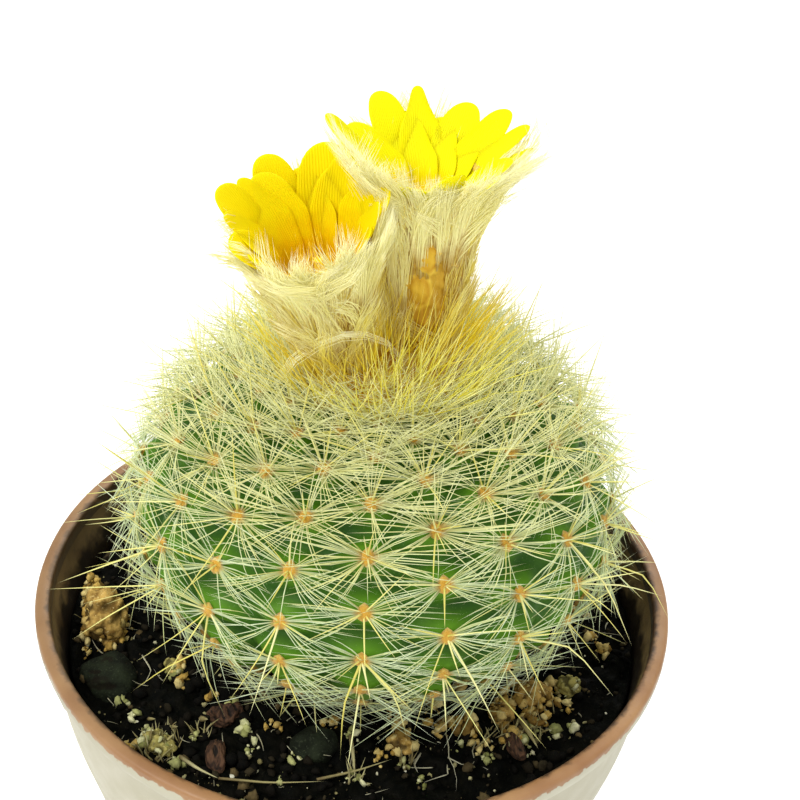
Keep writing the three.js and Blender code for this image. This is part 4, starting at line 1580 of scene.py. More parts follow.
@dataclass
class Flower:
    """One bloom: a woolly tube, petals in layers, stamens and a style."""

    name: str
    base: Point
    lean: Point
    length: float
    foot: float
    throat: float
    petal_list: list[Petal]
    tints: tuple[str, str, str]
    seed: int
    wisps: tuple[tuple[float, float, float, float, float], ...]
    bare: Way = ()
    arch: Way = ()
    cup: float = 7.5
    turns: Array = field(init=False)

    def __post_init__(self) -> None:
        """Finds the turn from +Z to the flower's axis."""
        axis = Vector(self.lean).normalized()
        self.turns = np.array(Vector((0, 0, 1)).rotation_difference(axis).to_matrix())

    def world(self, local: Array) -> Array:
        """Returns places on the flower's own axis as places of the plant."""
        return local @ self.turns.T + np.array(self.base)

    def local(self, points: Array) -> Array:
        """Returns places of the plant on the flower's own axis."""
        return (points - np.array(self.base)) @ self.turns

    def around(self, turn: Array, radius: Array, height: Array) -> Array:
        """Returns places at a turn, a radius and a height about the flower's axis."""
        return self.world(polar(turn, radius, height))

    def radius(self, height: Array) -> Array:
        """Returns the tube's radius at a height along its axis."""
        return lerp(self.foot, self.throat, np.clip(height / self.length, 0, 1) ** 1.4)

    def outline(self, turn: Array, height: Array) -> Array:
        """Returns the radius of the tube and, above it, of the petals' backs at a turn."""
        outer = sorted((p.turn % 360, p.flare, p.above) for p in self.petal_list if not p.inner)
        turns, flares, tops = np.array(outer).T
        degrees = np.degrees(turn) % 360
        flare = np.interp(degrees, turns, flares, period=360) + 0.45
        top = np.interp(degrees, turns, tops, period=360)
        share = np.clip((height - self.length) / top, 0, 1.3)
        return self.radius(height) + np.maximum(flare - self.throat, 0) * share ** 1.2

    def inside(self, points: Array, margin: float) -> Array:
        """Returns whether points are within a margin of the tube or the petals."""
        local = self.local(points)
        out = from_z(local)
        above = np.maximum(0, local[:, 2] - self.length)
        return (local[:, 2] > -3) & (out < self.radius(local[:, 2]) + 0.45 * above + margin)

    def tube(self) -> Piece:
        """Builds and dresses the tube's skin with its scales.

        Returns:
            The tube.
        """
        heights = np.linspace(0, self.length, 60)
        profile = [(0, -1.6), (self.foot - 0.5, -1.6)]
        profile += [(float(self.radius(h)) - 0.15, float(h)) for h in heights]
        profile += [(self.throat - 0.45, self.length + 0.35), (self.throat - 1.0, self.length)]
        profile += [(float(self.radius(self.length - d)) - 1.0, self.length - d) for d in (1.5, 4, 6.5, 9)]
        profile += [(0, self.length - 9.6)]
        piece = turned(self.name + "_tube_skin", profile, 140)
        points = vertices_of(piece)
        out = from_z(points)
        turn = np.arctan2(points[:, 1], points[:, 0])
        outer = out > self.radius(points[:, 2]) - 0.5
        bare = np.zeros(len(points))
        for where, height, size in self.bare:
            apart = np.angle(np.exp(1j * (turn - math.radians(where)))) * out
            near = (apart / size) ** 2 + ((points[:, 2] - height) / (1.75 * size)) ** 2
            bare = np.maximum(bare, np.exp(-1.3 * near ** 1.5))
        row = points[:, 2] / 2.6
        ridge = np.cos(turn * 9 + 2.4 * row * math.pi) * np.cos(row * math.pi)
        swell = 0.3 * np.maximum(ridge, -0.3) + 0.12 * np.cos(40 * turn) + 0.6 * bare
        points[:, :2] *= (1 + np.where(outer, swell, 0) / np.maximum(out, 1))[:, None]
        set_vertices(piece, self.world(points))
        set_grain(piece, np.stack([points[:, 2] / self.length, 0.5 + ridge / 2, bare], axis=1))
        shade(piece)
        return dressed(piece, TubeFinish(self.name + "_tube_skin"))

    def locks(self, random: Chance, layer: Layer) -> Array:
        """Draws a layer's locks, none of them over a bare scale.

        Args:
            random: the source of chance.
            layer: the layer.

        Returns:
            One row a lock: turn, start, top, lift, sway, spread, hairs and lightness.
        """
        count = layer.tried
        turn, low = random.uniform(0, TAU, count), random.uniform(*layer.start, count)
        top = low + random.uniform(*layer.reach, count)
        top = np.minimum(top, self.length + layer.cap * random.uniform(0.4, 1, count))
        kept = np.ones(count, bool)
        for where, middle, size in self.bare:
            apart = np.abs(np.angle(np.exp(1j * (turn - math.radians(where))))) * self.radius(low)
            kept &= (apart > 0.75 * size) | (low > middle + 1.9 * size) | (top < middle - 1.9 * size)
        lift, sway = random.uniform(*layer.lift, count), random.normal(0, layer.sway, count)
        spread, hairs = np.full(count, layer.spread), np.full(count, layer.hairs)
        light = random.uniform(*layer.light, count)
        return np.stack([turn, low, top, lift, sway, spread, hairs, light], axis=1)[kept]

    def wool(self) -> Piece:
        """Builds and dresses the long silky wool: a thin coat, flame-shaped locks and a ragged fringe.

        Returns:
            The wool.
        """
        random = dice(self.seed)
        long = self.length
        # The pale outer locks and the darker golden under-coat are partly the wool's own colours and partly
        # painted highlight and painted shade.
        coat = Layer(170, (0, 0.9 * long), (6, 12), cap=1.5, lift=(0.1, 0.6), sway=1.6, spread=0.8, hairs=8,
                     light=(0.0, 0.35))
        flames = Layer(64, (0.05 * long, 0.78 * long), (8, 15), cap=5.0, lift=(0.4, 2.6), sway=2.6,
                       spread=0.44, hairs=24, light=(0.7, 1))
        fringe = Layer(54, (long - 6, long - 1.5), (6, 13), cap=8.0, lift=(0.2, 1.6), sway=3.0, spread=0.42,
                       hairs=26, light=(0.8, 1))
        wisps = np.array([(math.radians(turn), long - low, long + top, lift, sway, 0.55, 46, 1.0)
                          for turn, low, top, lift, sway in self.wisps])
        rows = np.concatenate([*(self.locks(random, layer) for layer in (coat, flames, fringe)), wisps])
        groups = len(rows)
        member = np.repeat(np.arange(groups), rows[:, -2].astype(int))
        turn, low, top, lift, sway, spread, _, light = rows[member].T
        total = len(member)
        starts = np.clip(low + random.normal(0, 1.3, total), 0.1, long - 0.1)
        length = (top - starts) / 0.9 * random.uniform(0.7, 1.03, total)
        aside = random.normal(0, 1, total) * spread
        turns = turn + aside / self.radius(starts)
        lift = np.maximum(lift + random.normal(0, 0.25, total), 0.1)
        sway = sway - np.where(spread > 0.7, 0.1, 0.62) * aside + random.normal(0, 0.25, total)
        strands = Strands(Shape.needle(3, (0.25, 0.52, 0.78)))
        share = strands.levels[None]
        climb = starts[:, None] + length[:, None] * share * (1 - 0.10 * share)
        around = turns[:, None] + sway[:, None] * share ** 1.5 / (self.radius(climb) + 0.5)
        radius = self.outline(around, climb) + 0.12 + lift[:, None] * share ** 1.4
        paths = self.around(around, radius, climb)
        curl = random.normal(0, 0.5, (groups, 3))[member] * (1 + smooth(top, long, long + 4))[:, None]
        phase = random.uniform(1.5, 3.6, (groups, 1))[member]
        wave = random.normal(0, 0.16, (total, 3)) + curl
        paths += wave[:, None] * (np.sin(strands.levels * phase) * strands.levels)[..., None]
        tone = random.random(groups)[member] + random.normal(0, 0.15, total)
        light = np.clip(light * smooth(starts, 0, 11) + random.normal(0, 0.08, total), 0, 1)
        strands.follow(paths, random.uniform(0.065, 0.105, total), np.clip(tone, 0, 1), light)
        return dressed(strands.piece(self.name + "_wool"), SpineFinish(
            self.name + "_wool", ((0.0, "ecdc50"), (0.6, "dcc434"), (1.0, "c0a020")), foot="b88c14",
            foot_reach=0.3, tip="fbf8d2", young="f6f2b6", roughness=0.7, young_share=0.92, glow=0.14))

    def arching_lock(self) -> Piece:
        """Builds and dresses the long loose lock that arches over the crown.

        Returns:
            The lock.
        """
        random = dice(self.seed + 3)
        strands = Strands(Shape.needle(3, tuple(np.linspace(0.08, 0.92, 12))))
        strands.bundle(self.arch, 15, spread=0.32, width=0.052, random=random, place=0.9)
        return dressed(strands.piece(self.name + "_arching_lock"), SpineFinish(
            self.name + "_arching_lock", ((0.0, "f8f4c8"), (1.0, "efe8ac")), foot="e4d688",
            foot_reach=0.1, tip="fcf9d8", young="faf6cc", roughness=0.7, young_share=0.9, glow=0.2))

    def petals(self) -> Piece:
        """Builds and dresses the petals, which line the cup from its bottom.

        Returns:
            The petals.
        """
        random = dice(self.seed + 1)
        deselect()
        bpy.ops.mesh.primitive_grid_add(x_subdivisions=8, y_subdivisions=14, size=2 * MM)
        blade = Shape.taken(made("petal"))
        u, v = blade.points[:, 0], (blade.points[:, 1] + 1) / 2
        places, grain = [], []
        for k, petal in enumerate(self.petal_list):
            rise = petal.above + self.cup
            mouth = self.cup / rise
            side = 1 if k % 2 else -1
            wall = self.throat - (2.1 if petal.inner else 1.45) - 0.25 * (k % 2)
            spread = lerp(0.62, 1.0, smooth(v, 0.0, 0.72))
            taper = 1 - lerp(0.12, 0.86, petal.point) * smooth(v, 0.66, 1.0) ** 1.4
            width = 1.12 * petal.half_width * spread * taper
            drop = lerp(1.0, 0.35, petal.point) * petal.half_width / rise
            climb = v - drop * (1 - np.sqrt(1 - 0.985 * u * u)) * smooth(v, 0.5, 1.0)
            low = lerp(2.4, wall, np.clip(climb / mouth, 0, 1) ** 0.55)
            share = np.clip((climb - 0.8 * mouth) / (1 - 0.8 * mouth), 0, 1)
            radius = low + (petal.flare - wall) * share ** 1.25
            radius += 0.3 * (u * width / petal.half_width) * side - 0.25 * u * u * (1 - share)
            radius -= 0.6 * math.cos(math.radians(petal.turn)) * u * width * share
            radius += random.normal(0, 0.12) * share
            turn = math.radians(petal.turn) + random.normal(0, 0.03) * v
            turns = turn + u * width / np.maximum(radius, 1.5)
            wave = 0.1 * np.sin(4 * v + random.uniform(0, 6)) * u * share
            places.append(self.around(turns, radius + wave, self.length - self.cup + rise * climb))
            grain.append(np.stack([v, u, np.full(len(u), random.random())], axis=1))
        piece = repeated(self.name + "_petals_fine", blade, np.array(places), np.array(grain))
        modify(piece, "SOLIDIFY", thickness=0.2 * MM, offset=0.0, use_even_offset=False)
        modify(piece, "SUBSURF", levels=1, render_levels=1)
        shade(piece)
        return dressed(piece, PetalFinish(self.name + "_petal_silk", *self.tints))

    def centre(self) -> Piece:
        """Builds and dresses the stamens and the style.

        Returns:
            The centre.
        """
        random = dice(self.seed + 2)
        count, lobes = 150, 7
        turn = random.uniform(0, TAU, count)
        radius = random.uniform(0.8, self.throat - 3.2, count)
        start = self.around(turn, radius, self.length - 8.6)
        reach = polar(turn, random.uniform(0.0, 0.25, count), 1.0)
        length = random.uniform(5.4, 9.0, count)
        bend = polar(turn, -random.uniform(0.0, 1.6, count), 0.0)
        strands = Strands(Shape.needle(5, (0.3, 0.6, 0.85)))
        strands.arch(start, (unit(reach) @ self.turns.T) * length[:, None], bend @ self.turns.T,
                     random.uniform(0.14, 0.19, count), random.random(count), 1.0)
        top = self.world(np.array([[0, 0, self.length - 2.4]]))
        out = polar(TAU * np.arange(lobes) / lobes, 0.6, 0.9)
        strands.arch(top, out @ self.turns.T, (out * [1, 1, -0.6] @ self.turns.T) * 0.3, 0.2, 0.6, 0.0)
        foot = self.world(np.array([[0, 0, self.length - 9.0]]))
        axis = np.array([[0, 0, 7.2]]) @ self.turns.T
        strands.arch(foot, axis, np.zeros((1, 3)), 0.7, 0.2, 0.0)
        return dressed(strands.piece(self.name + "_stamens"), SpineFinish(
            self.name + "_stamens", ((0.0, "f6e264"), (0.6, "f2d62c"), (1.0, "e8c010")), foot="dcae14",
            foot_reach=0.5, tip="f8ea70", young="f4d820", roughness=0.6))


@dataclass
class Crown:
    """The cream wool cushion at the growing point and the golden bristles round the tubes."""

    habit: Habit
    flowers: list[Flower]
    radius: float = 10.6
    height: float = 4.0
    tried: int = 1150

    def crest(self, share: Array) -> Array:
        """Returns the cushion's height at a share of its radius."""
        return self.habit.equator + self.habit.rise - 0.2 * share + self.height * np.sqrt(1 - share ** 2)

    def top(self, x: Array, y: Array) -> Array:
        """Returns the cushion's height at places."""
        return self.crest(np.minimum(1, np.hypot(x - self.habit.centre_x, y) / self.radius))

    def cushion(self) -> Piece:
        """Builds and dresses the cushion.

        Returns:
            The cushion.
        """
        base = self.habit.equator + self.habit.rise
        profile = [(0, base - 3.4), (self.radius - 1.5, base - 1.6), (self.radius - 0.4, base - 0.8)]
        profile += [(float(s) * self.radius, float(self.crest(s))) for s in np.linspace(1, 0, 26)]
        piece = turned("crown_felt", profile, 120)
        points = vertices_of(piece)
        lumps = 0.35 * waves(points, 2.0, seed=77)
        points[:, 2] += lumps * smooth(points[:, 2], base - 1.5, base)
        points[:, 0] += self.habit.centre_x
        set_vertices(piece, points)
        # Marks the hollows, which the felt darkens as painted shade.
        set_shade(piece, smooth(lumps, 0.3, -0.2))
        shade(piece)
        return dressed(piece, FeltFinish("crown_felt", "ecdf80", "dcbc40", "c8961c"))

    def bristles(self) -> Piece:
        """Builds and dresses the straight golden bristles that stand round the tubes.

        Returns:
            The bristles.
        """
        random = dice(BRISTLE_SEED)
        turn = random.uniform(0, TAU, self.tried)
        out = self.radius * 1.18 * np.sqrt(random.uniform(0.02, 1, self.tried))
        x, y = self.habit.centre_x + out * np.cos(turn), out * np.sin(turn)
        start = np.stack([x, y, self.top(x, y) - 0.4], axis=1)
        bare = ~np.any([flower.inside(start, 0.05) for flower in self.flowers], axis=0)
        start, turn, out = start[bare], turn[bare], out[bare]
        n = len(start)
        lean = np.radians(random.uniform(0, 18, n) + 2.1 * out)
        heading = unit(polar(turn, np.sin(lean), np.cos(lean)) + random.normal(0, 0.17, (n, 3)))
        length = random.uniform(5.0, 14.0, n)
        reach = heading * length[:, None]
        bend = random.normal(0, 0.035, (n, 3)) * length[:, None]
        tries, push = 10, 0.7
        for _ in range(tries):
            hits = np.zeros(n, bool)
            for along in (0.35, 0.6, 0.8, 1.0):
                spot = start + reach * along + bend * along ** 2
                for flower in self.flowers:
                    near = flower.inside(spot, 0.25)
                    axis = flower.world(flower.local(spot) * [0, 0, 1])
                    reach[near] += unit(spot - axis)[near] * push
                    hits |= near
            reach = unit(reach) * length[:, None]
        kept = ~hits
        apart = np.min([from_z(flower.local(start)) for flower in self.flowers], axis=0)
        strands = Strands(Shape.needle(3, (0.35, 0.7)))
        strands.arch(start[kept], reach[kept], bend[kept], random.uniform(0.065, 0.105, n)[kept],
                     random.random(n)[kept], smooth(apart, 8.2, 5.0)[kept])
        return dressed(strands.piece("golden_bristles"), SpineFinish(
            "golden_bristle", ((0.0, "f4f2a8"), (0.5, "eae86c"), (1.0, "dccf2c")), foot="c49610",
            foot_reach=0.22, tip="f4f2ac", young="e0c21c", young_share=0.88, glow=0.2))


# The stage.

@dataclass
class Studio:
    """The camera, the pale floor and the soft lights."""

    camera_at: Point = (4.513, -145.338, 191.685)
    right: Point = (0.99797583, 0.03519982, 0.05296419)
    up: Point = (-0.06359428, 0.55238569, 0.83115932)
    lens: float = 63.0

    def camera(self) -> None:
        """Places the camera as the photo's was."""
        data = bpy.data.cameras.new("camera")
        data.lens = self.lens
        data.sensor_width = 36.0
        data.clip_start = 0.005
        camera = linked("camera", data)
        right, up = Vector(self.right).normalized(), Vector(self.up)
        up = (up - right * up.dot(right)).normalized()
        back = right.cross(up)
        turn = Matrix((right, up, back)).transposed()
        camera.matrix_world = Matrix.Translation(Vector(self.camera_at) * MM) @ turn.to_4x4()
        bpy.context.scene.camera = camera

    def floor(self) -> Piece:
        """Builds and dresses the floor.

        Returns:
            The floor.
        """
        deselect()
        bpy.ops.mesh.primitive_plane_add(size=6.0, location=(0, 0, -0.0002))
        floor = made("floor")
        apply_place(floor)
        dye = Dye("floor_paper", 0.9, 0.1)
        cloud = dye.range(dye.noise(dye.place(), 120.0, 2), 0.3, 0.7)
        floor.data.materials.append(dye.done(
            dye.mix(cloud, "f7f7f5", "f3f4f1"), Emission_Color=paint("ffffff"), Emission_Strength=0.3))
        return floor

    def light(self, name: str, at: Point, size: float, watts: float,
              colour: Point = (1, 1, 1)) -> None:
        """Adds a square soft light that looks at the plant.

        Args:
            name: its name.
            at: where it stands, in metres.
            size: its side, in metres.
            watts: its power.
            colour: its colour.
        """
        data = bpy.data.lights.new(name, "AREA")
        data.size = size
        data.energy = watts
        data.color = colour
        lamp = linked(name, data)
        aim = Vector((0, 0, 0.08)) - Vector(at)
        lamp.matrix_world = Matrix.Translation(at) @ aim.to_track_quat("-Z", "Y").to_matrix().to_4x4()

    def lights(self) -> None:
        """Sets the pale surroundings and the soft lights."""
        world = bpy.data.worlds.new("surroundings")
        world.use_nodes = True
        background = world.node_tree.nodes["Background"]
        background.inputs["Color"].default_value = (1.0, 1.0, 0.995, 1)
        background.inputs["Strength"].default_value = 0.62
        bpy.context.scene.world = world
        self.light("key", (-0.30, -0.25, 0.62), 0.35, 3.4, (1.0, 0.99, 0.96))
        self.light("fill", (0.50, -0.35, 0.40), 0.5, 0.8)
        self.light("back", (0.10, 0.50, 0.50), 0.5, 1.8)
        view = bpy.context.scene.view_settings
        view.view_transform = "Standard"
        view.look = "None"
        view.exposure = 0.0


# Long single spines: the places that each passes.
LONG_SPINES = (
    ((20.1, -24.8, 79.6), (26.6, -23.6, 77.6), (32.5, -23.9, 70.1)),
    ((26.8, -17.9, 82.4), (33.0, -15.5, 80.6), (38.5, -13.4, 77.4)),
    ((-22.6, -18.0, 78.1), (-30.4, -16.1, 75.5), (-38.5, -13.8, 72.4)),
    ((-16.0, -24.9, 80.8), (-16.6, -28.0, 75.2), (-13.7, -28.3, 66.8)),
    ((2.1, -30.7, 80.2), (0.3, -33.2, 75.4), (0.2, -32.6, 65.6)),
    ((25.1, -16.7, 88.1), (30.5, -18.4, 82.7), (34.6, -18.9, 73.9)),
    ((-22.4, -17.8, 84.2), (-29.4, -17.5, 80.3), (-36.0, -16.0, 75.6)),
    ((-22.6, -18.0, 78.1), (-29.4, -19.3, 73.6), (-34.3, -18.0, 68.2)),
    ((11.5, -29.0, 83.0), (15.4, -31.4, 77.5), (18.7, -30.9, 69.8)),
    ((31.1, -9.4, 79.0), (37.1, -8.7, 76.6), (41.0, -9.5, 70.0)),
    ((-15.4, -24.0, 74.9), (-21.5, -25.1, 71.3), (-26.1, -23.6, 65.4)),
    ((2.1, -30.7, 80.2), (6.2, -32.6, 76.7), (7.8, -31.8, 69.3)),
)
# The lock that arches from the left flower over the crown.
LEFT_ARCH = (
    (-9.6, -6.4, 101.4), (-8.4, -7.6, 104.6), (-5.6, -11.0, 109.0), (-3.2, -11.7, 110.9),
    (-0.8, -10.5, 110.8), (1.7, -6.9, 108.2), (4.0, -5.0, 105.4), (5.6, -4.6, 102.6),
)
# White roots: the x and y that each passes.
ROOT_WAYS = (
    ((12.6, -20.8), (13.4, -23.2), (13.2, -25.3), (14.4, -27.4), (14.3, -30.2)),
    ((16.8, -21.8), (16.2, -23.6), (16.7, -25.0), (16.0, -26.2)),
    ((13.2, -25.3), (15.0, -26.0), (16.4, -25.6)), ((-27.5, -10.5), (-25.6, -13.4), (-26.2, -16.0)),
    ((1.6, -25.2), (1.2, -27.0), (2.0, -28.6)), ((9.8, -25.0), (9.0, -26.3), (9.6, -27.6)),
)
# Dry stalks: the places that each passes, and its width.
STALK_WAYS = (
    (((-19.6, -27.6, 59.0), (-17.0, -29.6, 59.3), (-14.2, -31.0, 59.4)), 0.36),
    (((-14.4, -30.9, 59.4), (-8.0, -31.2, 59.5), (-1.4, -30.4, 59.5)), 0.24),
    (((-2.6, -30.2, 59.5), (2.0, -28.6, 59.6), (6.4, -26.6, 59.9)), 0.24),
    (((1.0, -23.4, 60.2), (1.6, -26.8, 60.0), (2.0, -29.6, 59.2)), 0.42),
    (((-24.6, -21.4, 58.6), (-23.4, -23.0, 60.4)), 0.42),
    (((-21.6, -22.6, 58.6), (-20.4, -24.2, 60.6)), 0.4),
    (((-18.0, -21.0, 58.8), (-16.9, -22.6, 60.5)), 0.5),
    (((22.4, -19.0, 60.4), (24.6, -23.0, 59.4)), 0.6),
    (((-22.6, -26.4, 58.8), (-20.6, -24.6, 60.0)), 0.38),
    (((16.6, -23.6, 59.4), (19.6, -20.6, 60.2)), 0.16),
)
# Tufts of short stalks: x, y, spread and count.
STUBBLE = (
    (-22.6, -25.4, 2.6, 70), (-17.6, -23.6, 1.2, 14), (2.0, -29.4, 1.1, 12), (24.8, -19.6, 1.4, 16),
    (20.0, -21.0, 2.6, 30), (13.5, -20.6, 1.8, 14), (25.0, -16.0, 2.2, 18), (-33.6, -4.0, 2.4, 12),
    (8.0, -26.2, 1.0, 9),
)
# Wisps of wool: turn, start below the mouth, tip above it, how far the tip stands off, and its sway.
LEFT_WISPS = (
    (256, 7, 10.2, 0.4, -0.4), (249, 6, 6.2, 0.3, 0.5), (300, 7, 7.9, 0.5, 0.8), (279, 6, 6.6, 0.4, 3.2),
    (223, 6, 6.4, 0.4, -0.6), (200, 8, 7.4, 1.5, -0.8), (208, 7, 4.8, 1.8, -0.5), (310, 6, 5.0, 0.3, 0.6),
    (334, 6, 8.0, 0.4, 0.3), (297, 5, 9.6, 0.3, 0.2), (269, 6, 5.2, 0.3, -1.0), (182, 7, 5.8, 1.2, 0.4),
    (236, 7, 5.0, 0.8, 0.4), (322, 6, 5.6, 0.3, -0.6), (345, 6, 5.4, 0.3, 0.8), (150, 7, 5.0, 0.8, 0.5),
    (105, 7, 6.0, 0.8, -0.5), (62, 7, 5.5, 0.6, 0.6), (20, 7, 6.0, 0.3, 0.4), (326, 6, 7.4, 0.2, 0.9),
    (350, 6, 8.6, 0.6, -0.5), (262, 7, 7.0, 0.3, 1.4), (288, 6, 5.0, 0.3, -1.2),
)
RIGHT_WISPS = (
    (222, 8, 7.6, 0.4, -0.4), (238, 8, 7.2, 0.3, -0.5), (250, 8, 5.0, 0.3, 0.6), (266, 8, 4.4, 0.3, -0.8),
    (277, 8, 4.2, 0.3, 0.8), (306, 8, 6.6, 0.3, -0.4), (324, 8, 5.0, 0.6, 0.5), (342, 9, 5.0, 1.6, 0.4),
    (356, 9, 4.4, 2.2, 0.2), (6, 9, 4.0, 1.8, 0.3), (200, 8, 6.2, 0.8, -0.5), (212, 8, 8.6, 0.6, 0.6),
    (230, 9, 4.6, 0.6, 1.2), (150, 8, 5.6, 0.8, 0.4), (118, 8, 5.0, 0.8, -0.5), (84, 8, 6.0, 0.8, 0.5),
    (48, 8, 5.2, 0.8, -0.5), (26, 8, 5.0, 1.2, 0.5), (228, 7, 9.4, 0.3, 1.5), (216, 6, 8.6, 0.3, -1.2),
    (279, 5.2, 3.6, 0.3, 0.4), (271, 5.0, 4.4, 0.3, -0.6), (286, 5.4, 3.0, 0.3, 0.8), (264, 8, 3.6, 0.3, 0.6),
    (290, 7.0, 4.2, 0.3, -0.7), (235, 6, 6.4, 0.3, 2.0), (314, 7, 5.2, 0.3, 1.0), (333, 8, 6.6, 1.0, -0.4),
)
# Petals: turn, flare, height above the mouth, half width, how pointed, and whether it is an inner one.
LEFT_PETALS = [Petal(*row) for row in (
    (170, 9.3, 8.5, 2.3), (151, 8.4, 7.2, 2.2, 0.7, True), (122, 9.0, 7.9, 2.5),
    (98, 8.3, 5.4, 2.8, 0.2, True), (76, 8.7, 8.0, 3.2), (53, 8.6, 7.6, 3.0),
    (30, 8.9, 6.8, 2.4, 0.6, True), (10, 9.1, 6.8, 2.7), (348, 8.8, 6.6, 2.2, 0.7, True),
    (328, 8.6, 4.6, 2.6), (306, 8.2, 3.6, 2.4, 0.2, True), (286, 8.2, 2.8, 2.8),
    (264, 8.0, 2.6, 2.5, 0.2, True), (243, 8.3, 3.0, 2.8), (222, 8.4, 4.0, 2.4, 0.3, True),
    (204, 9.0, 5.2, 2.6), (188, 9.0, 6.6, 2.2, 0.5, True), (137, 8.0, 6.8, 2.6, 0.2, True),
    (64, 8.0, 5.8, 2.8, 0.1, True),
)]
RIGHT_PETALS = [Petal(*row) for row in (
    (181, 11.3, 7.2, 2.2, 0.3), (156, 9.4, 4.8, 2.6, 0.2, True), (125, 10.0, 6.8, 2.4),
    (110, 8.8, 4.4, 2.6, 0.2, True), (96, 9.6, 7.0, 2.4, 0.7), (82, 9.0, 3.6, 2.6, 0.1, True),
    (67, 10.4, 5.4, 2.4), (53, 9.6, 3.2, 2.6, 0.2, True), (39, 11.4, 5.7, 2.2, 0.3),
    (20, 11.9, 5.0, 2.0, 0.5), (3, 12.0, 3.8, 1.7, 0.9), (346, 9.8, 3.6, 2.6, 0.2, True),
    (327, 9.6, 3.0, 2.8), (307, 9.0, 2.6, 2.6, 0.2, True), (288, 9.6, 4.6, 2.3),
    (264, 9.0, 2.6, 2.6, 0.2, True), (243, 9.4, 3.2, 2.8), (222, 9.2, 4.2, 2.6, 0.2, True),
    (202, 10.4, 5.6, 2.7, 0.2),
)]
# Heaps of crumbs: x, y, spread, height and count.
TAN_HEAPS = (
    (-33.2, -5.6, 3.3, 5.4, 110), (-35.4, -2.0, 1.8, 4.6, 46), (-36.3, 0.8, 1.1, 4.4, 30),
    (24.0, -13.8, 3.0, 1.9, 46), (20.0, -17.4, 1.9, 1.7, 24), (15.0, -20.2, 1.7, 1.4, 20),
    (7.4, -24.0, 1.8, 1.4, 22), (-22.6, -12.8, 1.3, 0.9, 16), (-21.4, -15.6, 1.0, 0.4, 9),
    (6.8, -19.0, 1.4, 0.5, 14), (7.6, -21.6, 1.1, 0.4, 10), (10.8, -17.6, 1.4, 0.6, 16),
    (14.6, -15.4, 1.0, 0.4, 10), (20.4, -14.4, 1.3, 0.7, 16), (27.2, -11.6, 1.3, 0.8, 16),
    (16.4, -20.2, 0.8, 0.3, 8), (21.2, -21.0, 1.4, 0.5, 14), (33.4, -2.0, 1.2, 0.8, 13),
    (34.4, -4.2, 1.0, 0.5, 9), (-34.6, -9.6, 1.1, 0.6, 10), (17.6, -22.4, 1.3, 0.5, 14),
    (24.4, -17.4, 1.6, 0.7, 18), (11.6, -20.6, 1.3, 0.5, 14), (28.4, -14.6, 1.2, 0.5, 11),
    (5.0, -26.6, 1.0, 0.4, 9), (-1.6, -21.8, 1.2, 0.5, 10), (-8.6, -22.6, 1.1, 0.4, 9),
    (-17.0, -17.6, 0.9, 0.4, 8), (31.2, 3.4, 1.4, 0.8, 14), (-26.4, -26.0, 1.1, 0.4, 10),
    (-4.0, 26.0, 1.8, 1.0, 20), (-24.0, 14.0, 1.6, 0.8, 16), (22.0, 20.0, 1.6, 0.8, 16),
    (30.5, 11.0, 1.3, 0.6, 12),
)
GREEN_HEAPS = (
    (-22.6, -25.4, 2.3, 1.2, 34), (29.2, -11.4, 1.7, 1.5, 22), (-22.8, -13.4, 1.2, 1.2, 12),
    (-24.2, -23.0, 1.2, 0.5, 12), (-17.8, -23.8, 1.0, 0.4, 10), (-14.4, -18.9, 0.9, 0.8, 10),
    (-12.4, -23.2, 1.0, 0.4, 11), (-11.0, -25.2, 0.9, 0.4, 9), (2.0, -29.4, 1.0, 0.4, 10),
    (8.0, -26.4, 0.8, 0.4, 8), (24.6, -19.0, 1.1, 0.6, 12), (26.6, -19.4, 0.7, 0.3, 7),
    (-6.6, -30.4, 0.8, 0.4, 8), (-34.6, -4.0, 1.2, 4.2, 12), (12.0, 28.0, 1.5, 0.6, 14),
    (-18.0, 24.0, 1.3, 0.6, 12), (1.2, -23.0, 0.9, 0.4, 9), (18.2, -24.6, 0.8, 0.4, 8),
    (22.6, -22.2, 1.2, 0.5, 14), (14.4, -23.2, 0.9, 0.4, 9), (-26.8, -21.0, 0.9, 0.4, 9),
    (-20.0, -28.0, 1.0, 0.4, 12), (-5.6, -26.8, 0.8, 0.4, 8), (10.4, -28.8, 0.8, 0.4, 8),
    (29.4, -17.6, 0.8, 0.4, 8), (-28.4, -18.6, 0.8, 0.4, 8),
)
BITS = (
    Bits("soil_grains", "soil", 61, (0.2, 1.0), ((0.0, "040504"), (0.6, "0b0b08"), (1.0, "1c1810")),
         count=1500, lift=0.35, fine=True),
    Bits("pale_bits", "crumb", 62, (0.10, 0.38), ((0.0, "8d8456"), (0.6, "c4be8c"), (1.0, "f0eed6")),
         count=520),
    Bits("brown_bits", "bark", 63, (0.15, 0.85), ((0.0, "1d1a12"), (0.5, "3b3424"), (1.0, "6a5a3a")),
         count=520),
    Bits("tan_heaps", "crumb", 64, (0.2, 0.85), ((0.0, "7a5c2a"), (0.35, "cca854"), (1.0, "f4e29c")),
         heaps=TAN_HEAPS),
    Bits("green_heaps", "crumb", 65, (0.15, 0.7), ((0.0, "84864c"), (0.5, "bcbe7c"), (1.0, "eeecbe")),
         heaps=GREEN_HEAPS),
)
